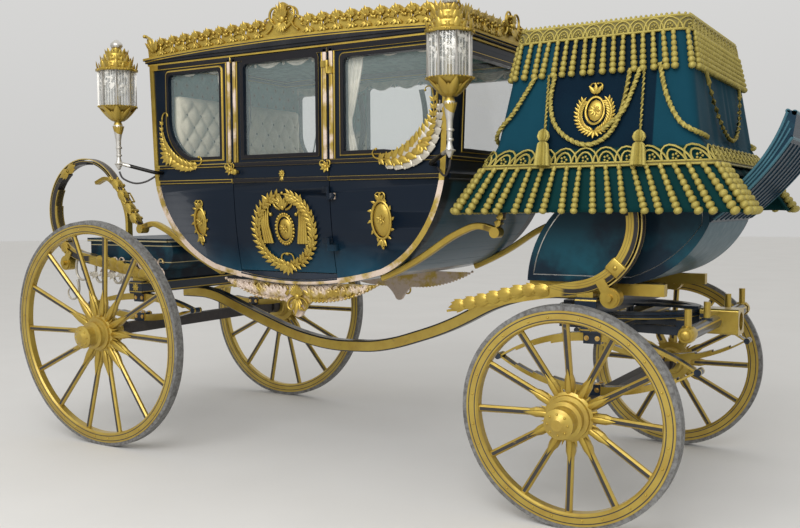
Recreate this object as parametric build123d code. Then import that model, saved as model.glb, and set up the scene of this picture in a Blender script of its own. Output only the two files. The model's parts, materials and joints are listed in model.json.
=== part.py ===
from build123d import *
from math import acos, atan2, cos, degrees, hypot, radians, sin, tan
import os

os.makedirs("parts", exist_ok=True)

# A four-wheeled state carriage: a closed body hung by leather braces from four
# C-springs, a perch under it, and a forecarriage that turns under the driving seat.
# Millimetres. x runs forward from the rear axle, y to the carriage's left, z up from
# the ground. Each piece is moved back by MIDDLE when it is written, so that the
# origin lies on the ground under the middle of the carriage.

# Fits between pieces
SEAM = 0.3
MOVING_GAP = 5.0
PIN_FIT = 0.3

# Wheels
REAR_RADIUS = 680.0
FRONT_RADIUS = 502.0
REAR_TRACK = 1760.0
FRONT_TRACK = 1730.0
WHEEL_LEAN = 3.6
REAR_SPOKES = 14
FRONT_SPOKES = 12
TYRE_WIDTH = 50.0
TYRE_DEPTH = 20.0
RIM_DEPTH = 58.0
RIM_WIDTH = 54.0
RIM_BEVEL = 9.0
SPOKE_WIDE = 44.0
SPOKE_THICK = 34.0
SPOKE_DISH = 50.0
HUB_RADIUS = 112.0
HUB_BARREL_RADIUS = 74.0
HUB_CAP_RADIUS = 62.0
HUB_INBOARD = 150.0
HUB_OUTBOARD = 130.0
HUB_CAP_DEPTH = 90.0
AXLE_ARM_RADIUS = 26.0
AXLE_COLLAR_WIDE = 22.0
AXLE_COLLAR_LONG = 70.0
BEAM_SETBACK = 50.0

# Axles, springs and beds. A rise is a height above the piece below.
AXLE_DEPTH = 66.0
AXLE_BREADTH = 60.0
REAR_SPRING_RISE = 171.0
REAR_BED_DEPTH = 80.0
REAR_BED_LENGTH = 110.0
FRONT_SPRING_RISE = 293.0
TURNING_BED_DEPTH = 44.0
TURNING_BED_LENGTH = 100.0
SPRING_SPREAD = 550.0
BED_OVERHANG = 60.0
REAR_SPRING_HALF = 450.0
FRONT_SPRING_HALF = 480.0
SPRING_LEAF = 10.0
SPRING_LEAVES = 4
SPRING_BREADTH = 52.0
WHEEL_PLATE_RADIUS = 360.0
WHEEL_PLATE_RIM = 46.0
WHEEL_PLATE_THICK = 14.0
TRANSOM_DEPTH = 88.0
TRANSOM_BEHIND = 75.0
TRANSOM_AHEAD = 28.0
KINGPIN_RADIUS = 20.0
PERCH_DEPTH = 70.0
PERCH_BREADTH = 76.0
PERCH_DROP = 423.0

# C-springs: an arc of leaves round a centre, running into a straight lower leg
C_RADIUS = 330.0
C_LEAF = 12.0
C_BREADTH = 54.0
C_FOOT_ANGLE = 260.0
C_BAND_ANGLE = 222.0
C_BAND_PROUD = 8.0
C_BAND_HALF = 24.0
REAR_STRAP_OUT = 163.85
REAR_LEG_CLEAR = 3.81
FRONT_STRAP_OUT = 48.85
FRONT_C_LIFT = 10.0
JACK_ANGLE = 240.0
JACK_RADIUS = 48.0
BRACE_THICK = 6.0
BRACE_DROP = 77.5

# Body. Lengths along it are halves about its middle, and heights are above its base.
BODY_BELT_HALF = 995.0
BODY_TOP_FLARE = 27.0
SHOULDER_TUCK = 100.0
BILGE_TUCK = 405.0
BELT_RISE = 625.0
SHOULDER_RISE = 335.0
BILGE_RISE = 80.0
ROOF_RISE = 1285.0
BODY_HALF_WIDTH = 650.0
TURN_UNDER = 80.0
WALL = 40.0
AXLE_TO_BODY = 240.0
BODY_TO_AXLE = 730.0
DOOR_BEHIND = 380.0
DOOR_AHEAD = 285.0
DOOR_SILL_RISE = 77.0
GLASS_RISE = 730.0
GLASS_THICK = 5.0
HINGE_RADIUS = 9.0
HINGE_STANDOFF = 12.0
HINGE_LEAF = 38.0
KNUCKLE = 34.0
MOULDING_PROUD = 8.0
EDGE_MOULDING = 30.0
FRAME_MOULDING = 22.0
LOOP_BEYOND = 327.0
LOOP_RISE = 305.0
CURL_RADIUS = 27.0
SEAT_RISE = 405.0
SEAT_DEPTH = 470.0
CUSHION = 115.0
CORNICE_SIDE = 26.0
CORNICE_OVERHANG = 34.0
CORNICE_DEPTH = 45.0
CORNICE_ARCH = 35.0
DOME_RISE = 60.0
GALLERY_HEIGHT = 88.0
GALLERY_THICK = 14.0

# Driving seat
BOOT_CLEAR = 78.0
RAIL_DEPTH = 57.0
CLOTH_WALL = 22.0

# Lamps, with heights above the body's belt
LAMP_STANDOFF = 150.0
LAMP_RADIUS = 118.0
LAMP_BASE_RISE = 310.0
LAMP_CROWN_RISE = 650.0
LAMP_TOP_RISE = 805.0
LAMP_AHEAD = 100.0
LAMP_BEHIND = 150.0

# Footmen's stand
STAND_CLEAR = 53.0
STAND_LIFT = 65.0
STAND_RISE = 260.0

# Draught gear
POLE_RADIUS = 45.0
SOCKET_WALL = 21.0
SOCKET_BACK = 72.0
SOCKET_FRONT = 110.0
SPLINTER_AHEAD = 440.0
SPLINTER_HALF = 640.0
SPLINTER_RADIUS = 32.0
ROLLER_RADIUS = 16.0
ROLLER_HEIGHT = 80.0
FUTCHELL_SPREAD = 150.0


def wheel_centre(radius, track):
    """Distance out and height of the tyre's middle, for a wheel that leans out."""
    lean = radians(WHEEL_LEAN)
    return track / 2 + radius * sin(lean), radius * cos(lean)


def beam_end(radius, track):
    """Half length and middle height of the beam of an axle."""
    out, height = wheel_centre(radius, track)
    lean = radians(WHEEL_LEAN)
    inboard = HUB_INBOARD + BEAM_SETBACK
    return out - inboard * cos(lean), height + inboard * sin(lean)


# Places that follow from the sizes: along the carriage, then up through the gear
BODY_MIDDLE = AXLE_TO_BODY + BODY_BELT_HALF
FRONT_X = BODY_MIDDLE + BODY_BELT_HALF + BODY_TO_AXLE
SPLINTER_X = FRONT_X + SPLINTER_AHEAD
REAR_AXLE_TOP = beam_end(REAR_RADIUS, REAR_TRACK)[1] + AXLE_DEPTH / 2
FRONT_AXLE_TOP = beam_end(FRONT_RADIUS, FRONT_TRACK)[1] + AXLE_DEPTH / 2
REAR_BED_BASE = REAR_AXLE_TOP + REAR_SPRING_RISE
REAR_BED_TOP = REAR_BED_BASE + REAR_BED_DEPTH
TURNING_BED_BASE = FRONT_AXLE_TOP + FRONT_SPRING_RISE
TURNING_BED_TOP = TURNING_BED_BASE + TURNING_BED_DEPTH
UPPER_PLATE_BASE = TURNING_BED_TOP + WHEEL_PLATE_THICK + MOVING_GAP
TRANSOM_BASE = UPPER_PLATE_BASE + WHEEL_PLATE_THICK
TRANSOM_TOP = TRANSOM_BASE + TRANSOM_DEPTH
RAIL_TOP = TRANSOM_TOP + RAIL_DEPTH
HALF_C_BREADTH = C_BREADTH / 2
BOOT_HALF_WIDTH = SPRING_SPREAD - HALF_C_BREADTH - BOOT_CLEAR
STAND_HALF_WIDTH = SPRING_SPREAD - HALF_C_BREADTH - STAND_CLEAR
SHOULDER_HALF = BODY_BELT_HALF - SHOULDER_TUCK
LOOP_REACH = SHOULDER_HALF + LOOP_BEYOND
BRACE_RADIUS = hypot(C_RADIUS + C_BAND_PROUD, C_BAND_HALF) + SEAM
C_FOOT = radians(C_FOOT_ANGLE)
REAR_C_X = BODY_MIDDLE - LOOP_REACH - BRACE_RADIUS - REAR_STRAP_OUT
REAR_LEG_RUN = REAR_BED_LENGTH / 2 - REAR_C_X - C_RADIUS * cos(C_FOOT)
REAR_LEG_FALL = REAR_LEG_RUN / tan(C_FOOT)
REAR_C_CENTRE = (REAR_C_X, REAR_BED_TOP + REAR_LEG_CLEAR + REAR_LEG_FALL - C_RADIUS * sin(C_FOOT))
FRONT_C_CENTRE = (
    BODY_MIDDLE + LOOP_REACH + BRACE_RADIUS + FRONT_STRAP_OUT,
    TRANSOM_TOP + C_RADIUS + FRONT_C_LIFT,
)
LOOP_Z = (REAR_C_CENTRE[1] + FRONT_C_CENTRE[1]) / 2 - BRACE_DROP
BODY_BASE_Z = LOOP_Z - LOOP_RISE
BELT_Z = BODY_BASE_Z + BELT_RISE
SHOULDER_Z = BODY_BASE_Z + SHOULDER_RISE
BILGE_Z = BODY_BASE_Z + BILGE_RISE
ROOF_BASE_Z = BODY_BASE_Z + ROOF_RISE
DOOR_BASE_Z = BODY_BASE_Z + DOOR_SILL_RISE
GLASS_BASE_Z = BODY_BASE_Z + GLASS_RISE
BODY_TOP_HALF = BODY_BELT_HALF + BODY_TOP_FLARE
BILGE_HALF = BODY_BELT_HALF - BILGE_TUCK
DOOR_REAR = BODY_MIDDLE - DOOR_BEHIND
DOOR_FRONT = BODY_MIDDLE + DOOR_AHEAD
CORNICE_HALF_WIDTH = BODY_HALF_WIDTH + CORNICE_SIDE
LAMP_SPREAD = BODY_HALF_WIDTH + LAMP_STANDOFF
LAMP_BASE_Z = BELT_Z + LAMP_BASE_RISE
LAMP_CROWN_Z = BELT_Z + LAMP_CROWN_RISE
LAMP_TOP_Z = BELT_Z + LAMP_TOP_RISE
STAND_BASE_Z = REAR_BED_TOP + STAND_LIFT
STAND_TOP_Z = REAR_BED_TOP + STAND_RISE
BAR_Z = TURNING_BED_BASE + TURNING_BED_DEPTH / 2

# The carriage's length runs from the rear braces to the footboard's upper edge
BOARD_TIP = 846.0
MIDDLE = (FRONT_X + BOARD_TIP + REAR_C_CENTRE[0] - BRACE_RADIUS - BRACE_THICK) / 2


def save(name, *solids):
    """Write the solids of one node, moved so that the origin is under the middle."""
    moved = [Pos(-MIDDLE, 0, 0) * solid for piece in solids for solid in piece.solids()]
    shape = moved[0] if len(moved) == 1 else Compound(children=moved)
    export_step(shape, f"parts/{name}.step")


def mirrored(piece):
    """The same piece on the carriage's other side."""
    return mirror(piece, about=Plane.XZ)


def block(x_range, y_range, z_range):
    """A box from its limits."""
    size = [high - low for low, high in (x_range, y_range, z_range)]
    middle = [(high + low) / 2 for low, high in (x_range, y_range, z_range)]
    return Pos(*middle) * Box(*size)


def side_plate(curves, y_low, y_high):
    """An outline drawn in the side view, given its width across the carriage."""
    face = make_face(curves)
    solid = extrude(Plane.XZ * face, amount=y_high - y_low)
    return Pos(0, y_high, 0) * solid


def end_plate(curves, x_low, x_high):
    """An outline drawn in the front view, given its length along the carriage."""
    face = make_face(curves)
    return Pos(x_low, 0, 0) * extrude(Plane.YZ * face, amount=x_high - x_low)


def bend_radii(points):
    """The bend at each inner point, as large as its shorter run leaves room for."""
    radii = []
    for before, corner, after in zip(points, points[1:], points[2:]):
        run_in = Vector(*corner) - Vector(*before)
        run_out = Vector(*after) - Vector(*corner)
        half_turn = radians(run_in.get_angle(run_out)) / 2
        radii.append(0.45 * min(run_in.length, run_out.length) / tan(half_turn))
    return radii


def swept_bar(points, section, across=(0, 1, 0)):
    """A bar whose section follows straight runs joined by bends."""
    path = FilletPolyline(*points, radius=bend_radii(points))
    start = Plane(origin=path @ 0, z_dir=path % 0, x_dir=across)
    return sweep(start * section, path=path)


def standing(radius, height):
    """A round bar that stands on its lower end at the origin."""
    return Cylinder(radius, height, align=(Align.CENTER, Align.CENTER, Align.MIN))


def upright(radius_heights):
    """A turned piece on the z axis from (radius, height) pairs."""
    points = [(0, radius_heights[0][1])] + list(radius_heights) + [(0, radius_heights[-1][1])]
    face = make_face(Polyline(*points, close=True))
    return revolve(Plane.XZ * face, axis=Axis.Z)


# Wheels. Each is built on its own z axis, which points out from the carriage, with
# the middle of the tyre at height 0. The tyre and rim are coned by the lean of the
# wheel, so that the tread lies flat on the ground.
def ring(outer, depth, width, bevel=0.0):
    """A coned ring of the wheel, measured at the middle of its width."""
    cone = width / 2 * tan(radians(WHEEL_LEAN))
    corners = [
        (outer + cone, -width / 2),
        (outer - cone, width / 2),
        (outer - depth - cone + bevel, width / 2),
        (outer - depth, width / 2 - bevel),
        (outer - depth, -width / 2 + bevel),
        (outer - depth + cone + bevel, -width / 2),
    ]
    if bevel == 0:
        corners = corners[:3] + corners[5:]
    return revolve(Plane.XZ * make_face(Polyline(*corners, close=True)), axis=Axis.Z)


def spoke_section(distance, wide, thick, height):
    """The eight-sided section of a spoke at a distance from the hub's axis."""
    flat = Plane(origin=(distance, 0, height), x_dir=(0, 1, 0), z_dir=(1, 0, 0))
    corner = min(wide, thick) * 0.28
    return flat * chamfer(Rectangle(wide, thick).vertices(), corner)


def hub_profile():
    """The hub as a turned outline, from its inboard end to its cap."""
    flange = -SPOKE_DISH
    cap = HUB_OUTBOARD - HUB_CAP_DEPTH
    return [
        (HUB_BARREL_RADIUS - 4, -HUB_INBOARD),
        (HUB_BARREL_RADIUS + 4, -HUB_INBOARD + 8),
        (HUB_BARREL_RADIUS + 4, -HUB_INBOARD + 22),
        (HUB_BARREL_RADIUS, -HUB_INBOARD + 26),
        (HUB_BARREL_RADIUS + 8, flange - 40),
        (HUB_RADIUS, flange - 30),
        (HUB_RADIUS, flange + 30),
        (HUB_RADIUS - 12, flange + 36),
        (HUB_RADIUS - 14, flange + 50),
        (HUB_BARREL_RADIUS + 6, flange + 56),
        (HUB_BARREL_RADIUS, cap - 16),
        (HUB_BARREL_RADIUS + 8, cap - 12),
        (HUB_BARREL_RADIUS + 8, cap),
        (HUB_CAP_RADIUS + 4, cap + 6),
        (HUB_CAP_RADIUS, cap + 18),
        (HUB_CAP_RADIUS, cap + 54),
        (HUB_CAP_RADIUS + 5, cap + 58),
        (HUB_CAP_RADIUS + 5, cap + 68),
        (HUB_CAP_RADIUS * 0.8, cap + 76),
        (HUB_CAP_RADIUS * 0.4, HUB_OUTBOARD),
    ]


def arm_length():
    """How far the axle arm reaches into the hub from its inboard end."""
    return HUB_INBOARD + HUB_OUTBOARD - HUB_CAP_DEPTH


def wheel(radius, spokes):
    """Hub, spokes and rim of one wheel."""
    rim_outer = radius - TYRE_DEPTH - SEAM
    rim_inner = rim_outer - RIM_DEPTH
    pieces = [ring(rim_outer, RIM_DEPTH, RIM_WIDTH, RIM_BEVEL)]
    reach = rim_inner + RIM_BEVEL - HUB_RADIUS
    stations = [
        # share of the way to the rim, width, thickness
        (-30.0 / reach, SPOKE_WIDE, SPOKE_THICK + 8),
        (0.16, SPOKE_WIDE, SPOKE_THICK + 4),
        (0.24, SPOKE_WIDE * 0.68, SPOKE_THICK * 0.86),
        (1.0, SPOKE_WIDE * 0.72, SPOKE_THICK * 0.8),
    ]
    sections = [
        spoke_section(HUB_RADIUS + share * reach, wide, thick, SPOKE_DISH * (max(share, 0) - 1))
        for share, wide, thick in stations
    ]
    spoke = loft(sections, ruled=True)
    pieces += [Rot(0, 0, 360 / spokes * count) * spoke for count in range(spokes)]
    hub = upright(hub_profile())
    bore = Pos(0, 0, -HUB_INBOARD) * standing(AXLE_ARM_RADIUS + PIN_FIT, arm_length() + MOVING_GAP)
    return hub.fuse(*pieces) - bore


def tyre(radius):
    """The iron and rubber hoop of one wheel."""
    return ring(radius, TYRE_DEPTH, TYRE_WIDTH)


def wheel_place(x, radius, track, side):
    """Where a wheel stands; side is 1 on the left and -1 on the right."""
    out, height = wheel_centre(radius, track)
    lean = radians(WHEEL_LEAN)
    outward = (0, side * cos(lean), -sin(lean))
    return Plane(origin=(x, side * out, height), x_dir=(1, 0, 0), z_dir=outward).location


wheel_table = [
    # name, x, radius, track, spokes, side
    ("right_rear", 0.0, REAR_RADIUS, REAR_TRACK, REAR_SPOKES, -1),
    ("left_rear", 0.0, REAR_RADIUS, REAR_TRACK, REAR_SPOKES, 1),
    ("right_front", FRONT_X, FRONT_RADIUS, FRONT_TRACK, FRONT_SPOKES, -1),
    ("left_front", FRONT_X, FRONT_RADIUS, FRONT_TRACK, FRONT_SPOKES, 1),
]
for name, x, radius, track, spokes, side in wheel_table:
    place = wheel_place(x, radius, track, side)
    save(f"{name}_wheel", place * wheel(radius, spokes))
    save(f"{name}_tyre", place * tyre(radius))


# Axles: a square beam between the springs and a canted round arm into each hub
def axle(x, radius, track):
    """One axle tree with its two arms."""
    arm_start = -HUB_INBOARD - AXLE_COLLAR_LONG
    pieces = []
    for side in (-1, 1):
        place = wheel_place(x, radius, track, side)
        arm = Pos(0, 0, arm_start) * standing(AXLE_ARM_RADIUS, arm_length() + AXLE_COLLAR_LONG)
        collar = Pos(0, 0, arm_start) * standing(AXLE_ARM_RADIUS + AXLE_COLLAR_WIDE, AXLE_COLLAR_LONG - SEAM)
        pieces += [place * arm, place * collar]
    half, beam_z = beam_end(radius, track)
    beam = block(
        (x - AXLE_BREADTH / 2, x + AXLE_BREADTH / 2),
        (-half, half),
        (beam_z - AXLE_DEPTH / 2, beam_z + AXLE_DEPTH / 2),
    )
    return beam.fuse(*pieces)


save("rear_axle", axle(0.0, REAR_RADIUS, REAR_TRACK))
save("front_axle", axle(FRONT_X, FRONT_RADIUS, FRONT_TRACK))


# Elliptic springs: two bowed stacks of leaves joined at eyes, with a clip at each middle
def elliptic_spring(x, half, low, high, y):
    """One elliptic spring that fills the height from the axle to the bed."""
    middle = (low + high) / 2
    pieces = []
    for turn in (-1, 1):
        seat = low if turn < 0 else high
        for leaf in range(SPRING_LEAVES):
            reach = half - leaf * half * 0.19
            outer = seat - turn * leaf * SPRING_LEAF
            inner = outer - turn * SPRING_LEAF
            bow = (half * half + (seat - middle) ** 2) / (2 * abs(seat - middle))
            drop = bow - (bow * bow - reach * reach) ** 0.5
            tip = outer - turn * drop
            under = tip - turn * SPRING_LEAF
            leaf_curves = [
                ThreePointArc((x - reach, tip), (x, outer), (x + reach, tip)),
                Line((x + reach, tip), (x + reach, under)),
                ThreePointArc((x + reach, under), (x, inner), (x - reach, under)),
                Line((x - reach, under), (x - reach, tip)),
            ]
            pieces.append(side_plate(leaf_curves, y - SPRING_BREADTH / 2, y + SPRING_BREADTH / 2))
    eye = Rot(90, 0, 0) * Cylinder(SPRING_LEAF * 1.6, SPRING_BREADTH + 16)
    pieces += [Pos(x + end * (half + 2), y, middle) * eye for end in (-1, 1)]
    clip = SPRING_LEAF * SPRING_LEAVES + 12
    half_clip = SPRING_BREADTH / 2 + 8
    pieces.append(block((x - 42, x + 42), (y - half_clip, y + half_clip), (low, low + clip)))
    pieces.append(block((x - 42, x + 42), (y - half_clip, y + half_clip), (high - clip, high)))
    return pieces[0].fuse(*pieces[1:])


rear_spring = elliptic_spring(0.0, REAR_SPRING_HALF, REAR_AXLE_TOP, REAR_BED_BASE, -SPRING_SPREAD)
front_spring = elliptic_spring(
    FRONT_X, FRONT_SPRING_HALF, FRONT_AXLE_TOP, TURNING_BED_BASE, -SPRING_SPREAD
)
save("rear_springs", rear_spring, mirrored(rear_spring))
save("front_springs", front_spring, mirrored(front_spring))


# Rear bed: a cross beam on the elliptic springs that carries the C-springs and perch
BED_HALF = SPRING_SPREAD + BED_OVERHANG
rear_bed = block(
    (-REAR_BED_LENGTH / 2, REAR_BED_LENGTH / 2), (-BED_HALF, BED_HALF), (REAR_BED_BASE, REAR_BED_TOP)
)
save("rear_bed", fillet(rear_bed.edges().filter_by(Axis.Y), 14))

# Perch: the swan-shaped backbone, clipped under the rear bed and let into the transom
perch_rear_z = REAR_BED_BASE - PERCH_DEPTH / 2
perch_front_z = TRANSOM_TOP - PERCH_DEPTH / 2
perch_low_z = BODY_BASE_Z - PERCH_DROP
perch_route = [
    # along the carriage, height
    (-150, perch_rear_z),
    (90, perch_rear_z),
    (BODY_MIDDLE - 755, perch_low_z + 150),
    (BODY_MIDDLE - 435, perch_low_z + 46),
    (BODY_MIDDLE - 145, perch_low_z),
    (BODY_MIDDLE + 165, perch_low_z + 16),
    (BODY_MIDDLE + 325, perch_low_z + 50),
    (FRONT_X - 1060, perch_low_z + 163),
    (FRONT_X - 740, perch_low_z + 333),
    (FRONT_X - 480, perch_front_z),
    (FRONT_X - TRANSOM_BEHIND - SEAM, perch_front_z),
]
perch = swept_bar([(x, 0, z) for x, z in perch_route], RectangleRounded(PERCH_BREADTH, PERCH_DEPTH, 12))
save("perch", perch)

# Transom and upper wheel plate: the fixed half of the turntable, with the kingpin
plate_ring = Circle(WHEEL_PLATE_RADIUS) - Circle(WHEEL_PLATE_RADIUS - WHEEL_PLATE_RIM)
upper_plate = Pos(FRONT_X, 0, UPPER_PLATE_BASE) * extrude(plate_ring, amount=WHEEL_PLATE_THICK)
transom = block(
    (FRONT_X - TRANSOM_BEHIND, FRONT_X + TRANSOM_AHEAD),
    (-BED_HALF, BED_HALF),
    (TRANSOM_BASE, TRANSOM_TOP),
)
transom = fillet(transom.edges().filter_by(Axis.X), 18)
SPIDER_HALF = 30.0
SPIDER_THICK = 12.0
spider_reach = WHEEL_PLATE_RADIUS - 8
spider = block(
    (FRONT_X - spider_reach, FRONT_X + spider_reach),
    (-SPIDER_HALF, SPIDER_HALF),
    (TRANSOM_BASE, TRANSOM_BASE + SPIDER_THICK),
)
KINGPIN_BELOW = 40.0
kingpin_base = TURNING_BED_BASE - KINGPIN_BELOW
kingpin = Pos(FRONT_X, 0, kingpin_base) * standing(KINGPIN_RADIUS, TRANSOM_TOP - 20 - kingpin_base)
save("front_bed", upper_plate.fuse(transom, spider, kingpin))


# C-springs. Each leaf follows the arc and then its own length of straight leg.
C_LEAVES = [
    # top end angle, leg length
    (40.0, 720.0),
    (84.0, 690.0),
    (124.0, 600.0),
    (150.0, 500.0),
    (172.0, 400.0),
]


def c_spring(centre, forward):
    """One C-spring at y 0; forward is 1 when its legs point forwards."""
    foot = C_FOOT
    leg_dir = (-sin(foot), cos(foot))
    pieces = []
    for count, (top_angle, leg) in enumerate(C_LEAVES):
        outer = C_RADIUS - count * C_LEAF
        inner = outer - C_LEAF
        top = radians(top_angle)
        half_way = (top + foot) / 2

        def at(radius, angle, along=0.0):
            x = radius * cos(angle) + leg_dir[0] * along
            z = radius * sin(angle) + leg_dir[1] * along
            return centre[0] + forward * x, centre[1] + z

        curves = [
            ThreePointArc(at(outer, top), at(outer, half_way), at(outer, foot)),
            Line(at(outer, foot), at(outer, foot, leg)),
            Line(at(outer, foot, leg), at(inner, foot, leg)),
            Line(at(inner, foot, leg), at(inner, foot)),
            ThreePointArc(at(inner, foot), at(inner, half_way), at(inner, top)),
            Line(at(inner, top), at(outer, top)),
        ]
        pieces.append(side_plate(curves, -C_BREADTH / 2, C_BREADTH / 2))
    stack = len(C_LEAVES) * C_LEAF
    band_angle = radians(C_BAND_ANGLE)
    band_radius = C_RADIUS - stack / 2
    band_place = Pos(
        centre[0] + forward * band_radius * cos(band_angle), 0, centre[1] + band_radius * sin(band_angle)
    )
    band = band_place * Rot(0, forward * (180 - C_BAND_ANGLE), 0) * Box(
        stack + 2 * C_BAND_PROUD, C_BREADTH + 16, 2 * C_BAND_HALF
    )
    tip = radians(C_LEAVES[0][0])
    roll_radius = C_RADIUS - C_LEAF / 2
    roll = Pos(centre[0] + forward * roll_radius * cos(tip), 0, centre[1] + roll_radius * sin(tip))
    roll = roll * Rot(90, 0, 0) * Cylinder(C_LEAF / 2 + C_BAND_PROUD, C_BREADTH)
    return pieces[0].fuse(*pieces[1:], band, roll)


def leg_height(centre, x, forward):
    """Height of the underside of a C-spring's leg at x."""
    foot_x = centre[0] + forward * C_RADIUS * cos(C_FOOT)
    foot_z = centre[1] + C_RADIUS * sin(C_FOOT)
    return foot_z - (x - foot_x) * forward / tan(C_FOOT)


rear_c = Pos(0, -SPRING_SPREAD, 0) * c_spring(REAR_C_CENTRE, 1)
front_c = Pos(0, -SPRING_SPREAD, 0) * c_spring(FRONT_C_CENTRE, -1)
save("rear_c_springs", rear_c, mirrored(rear_c))
save("front_c_springs", front_c, mirrored(front_c))


# Spring chocks: blocks that seat the sloping legs on the rear bed and the transom
def chock(x, half, base, centre, forward):
    """A block from a bed's top to the underside of the leg above it."""
    low_y = -SPRING_SPREAD - C_BREADTH / 2 - 6
    high_y = -SPRING_SPREAD + C_BREADTH / 2 + 6
    curves = Polyline(
        (x - half, base),
        (x + half, base),
        (x + half, leg_height(centre, x + half, forward)),
        (x - half, leg_height(centre, x - half, forward)),
        close=True,
    )
    return side_plate(curves, low_y, high_y)


rear_chock = chock(0.0, 50, REAR_BED_TOP, REAR_C_CENTRE, 1)
front_chock = chock(FRONT_X - 35, 38, TRANSOM_TOP, FRONT_C_CENTRE, -1)
save("spring_chocks", rear_chock, mirrored(rear_chock), front_chock, mirrored(front_chock))


# Winding jacks: a ratchet drum in two cheeks outside the foot of each C-spring
def jack(centre, forward):
    """One winding jack at the middle plane of its spring."""
    angle = radians(JACK_ANGLE)
    reach = BRACE_RADIUS + BRACE_THICK + SEAM + JACK_RADIUS
    drum_x = centre[0] + forward * reach * cos(angle)
    drum_z = centre[1] + reach * sin(angle)
    drum = Pos(drum_x, 0, drum_z) * Rot(90, 0, 0) * Cylinder(JACK_RADIUS, C_BREADTH + 4)
    root_x = centre[0] + forward * (C_RADIUS - 30) * cos(angle)
    root_z = centre[1] + (C_RADIUS - 30) * sin(angle)
    length = hypot(drum_x - root_x, drum_z - root_z)
    slope = degrees(atan2(drum_z - root_z, drum_x - root_x))
    pieces = [drum]
    for side in (-1, 1):
        y = side * (C_BREADTH / 2 + SEAM + 4)
        cheek = Box(length, 8, 46)
        disc = Rot(90, 0, 0) * Cylinder(JACK_RADIUS - 8, 8)
        middle_x = (drum_x + root_x) / 2
        middle_z = (drum_z + root_z) / 2
        pieces.append(Pos(middle_x, y, middle_z) * Rot(0, -slope, 0) * cheek)
        pieces.append(Pos(drum_x, y, drum_z) * disc)
    axle_pin = Pos(drum_x, 0, drum_z) * Rot(90, 0, 0) * Cylinder(16, C_BREADTH + 60)
    return pieces[0].fuse(*pieces[1:], axle_pin)


rear_jack = Pos(0, -SPRING_SPREAD, 0) * jack(REAR_C_CENTRE, 1)
front_jack = Pos(0, -SPRING_SPREAD, 0) * jack(FRONT_C_CENTRE, -1)
save("winding_jacks", rear_jack, mirrored(rear_jack), front_jack, mirrored(front_jack))


# Body outline in the side view, drawn at an inset from the outer faces. The slopes of
# its two lower arcs set how far an inset moves each corner along and up.
SHOULDER_LEAN = (0.9, 0.44)
BILGE_LEAN = (0.42, 0.91)
SECTION_FOOT = 60.0


def body_side(inset=0.0, top=ROOF_BASE_Z):
    """The side outline of the body, smaller all round by the inset."""
    upper = (top - BELT_Z) / (ROOF_BASE_Z - BELT_Z)
    top_half = BODY_BELT_HALF + (BODY_TOP_HALF - BODY_BELT_HALF) * upper - inset
    belt = BODY_BELT_HALF - inset
    shoulder = (SHOULDER_HALF - inset * SHOULDER_LEAN[0], SHOULDER_Z + inset * SHOULDER_LEAN[1])
    bilge = (BILGE_HALF - inset * BILGE_LEAN[0], BILGE_Z + inset * BILGE_LEAN[1])
    base = BODY_BASE_Z + inset
    m = BODY_MIDDLE
    return [
        Line((m - top_half, top), (m - belt, BELT_Z)),
        ThreePointArc((m - belt, BELT_Z), (m - shoulder[0], shoulder[1]), (m - bilge[0], bilge[1])),
        ThreePointArc((m - bilge[0], bilge[1]), (m, base), (m + bilge[0], bilge[1])),
        ThreePointArc((m + bilge[0], bilge[1]), (m + shoulder[0], shoulder[1]), (m + belt, BELT_Z)),
        Line((m + belt, BELT_Z), (m + top_half, top)),
        Line((m + top_half, top), (m - top_half, top)),
    ]


def body_section(inset=0.0, top=ROOF_BASE_Z, base=BODY_BASE_Z - SECTION_FOOT):
    """The cross section of the body: upright above the belt, turned under below it."""
    wide = BODY_HALF_WIDTH - inset
    middle_z = (BELT_Z + base) / 2
    share = ((BELT_Z - base) / (BELT_Z - BODY_BASE_Z)) ** 2
    foot = wide - TURN_UNDER * share
    middle = wide - TURN_UNDER * share / 4
    return [
        Line((-wide, top), (-wide, BELT_Z)),
        ThreePointArc((-wide, BELT_Z), (-middle, middle_z), (-foot, base)),
        Line((-foot, base), (foot, base)),
        ThreePointArc((foot, base), (middle, middle_z), (wide, BELT_Z)),
        Line((wide, BELT_Z), (wide, top)),
        Line((wide, top), (-wide, top)),
    ]


# Cutting blocks that reach past the body, wherever its middle lies
LONG = BODY_TOP_HALF + 380
WIDE = LAMP_SPREAD + 100
LOW = BODY_BASE_Z - 100
HIGH = ROOF_BASE_Z + 700
body_ends = (BODY_MIDDLE - LONG, BODY_MIDDLE + LONG)
body_outer = side_plate(body_side(), -WIDE, WIDE) & end_plate(body_section(), *body_ends)
section_inner = end_plate(body_section(WALL), *body_ends)
section_ends = end_plate(body_section(WALL + SEAM), *body_ends)
side_inner = side_plate(body_side(WALL, ROOF_BASE_Z + 1), -WIDE, WIDE)
right_half = block(body_ends, (-WIDE, 0), (LOW, HIGH))
side_wall = (body_outer - section_inner) & right_half
shell_ring = side_plate(body_side(), -WIDE, WIDE) - side_inner
end_wall = shell_ring & section_ends


# Windows, as openings in the side walls, as mouldings round them and as their panes.
# A lower corner is an arc through three points, given by how far in and up each lies.
WINDOW_CORNER = 26.0
REAR_SWEEP = [(0.0, 250.0), (45.0, 95.0), (175.0, 0.0)]
FRONT_SWEEP = [(0.0, 235.0), (62.0, 70.0), (285.0, 0.0)]
windows = [
    # rear edge, front edge, top, sweep of the lower rear corner, sweep of the lower front corner
    (BODY_MIDDLE - BODY_BELT_HALF + 125, DOOR_REAR - 93, ROOF_BASE_Z - 65, REAR_SWEEP, None),
    (DOOR_REAR + 87, DOOR_FRONT - 78, ROOF_BASE_Z - 48, None, None),
    (DOOR_FRONT + 102, BODY_MIDDLE + BODY_BELT_HALF - 70, ROOF_BASE_Z - 68, None, FRONT_SWEEP),
]


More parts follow.
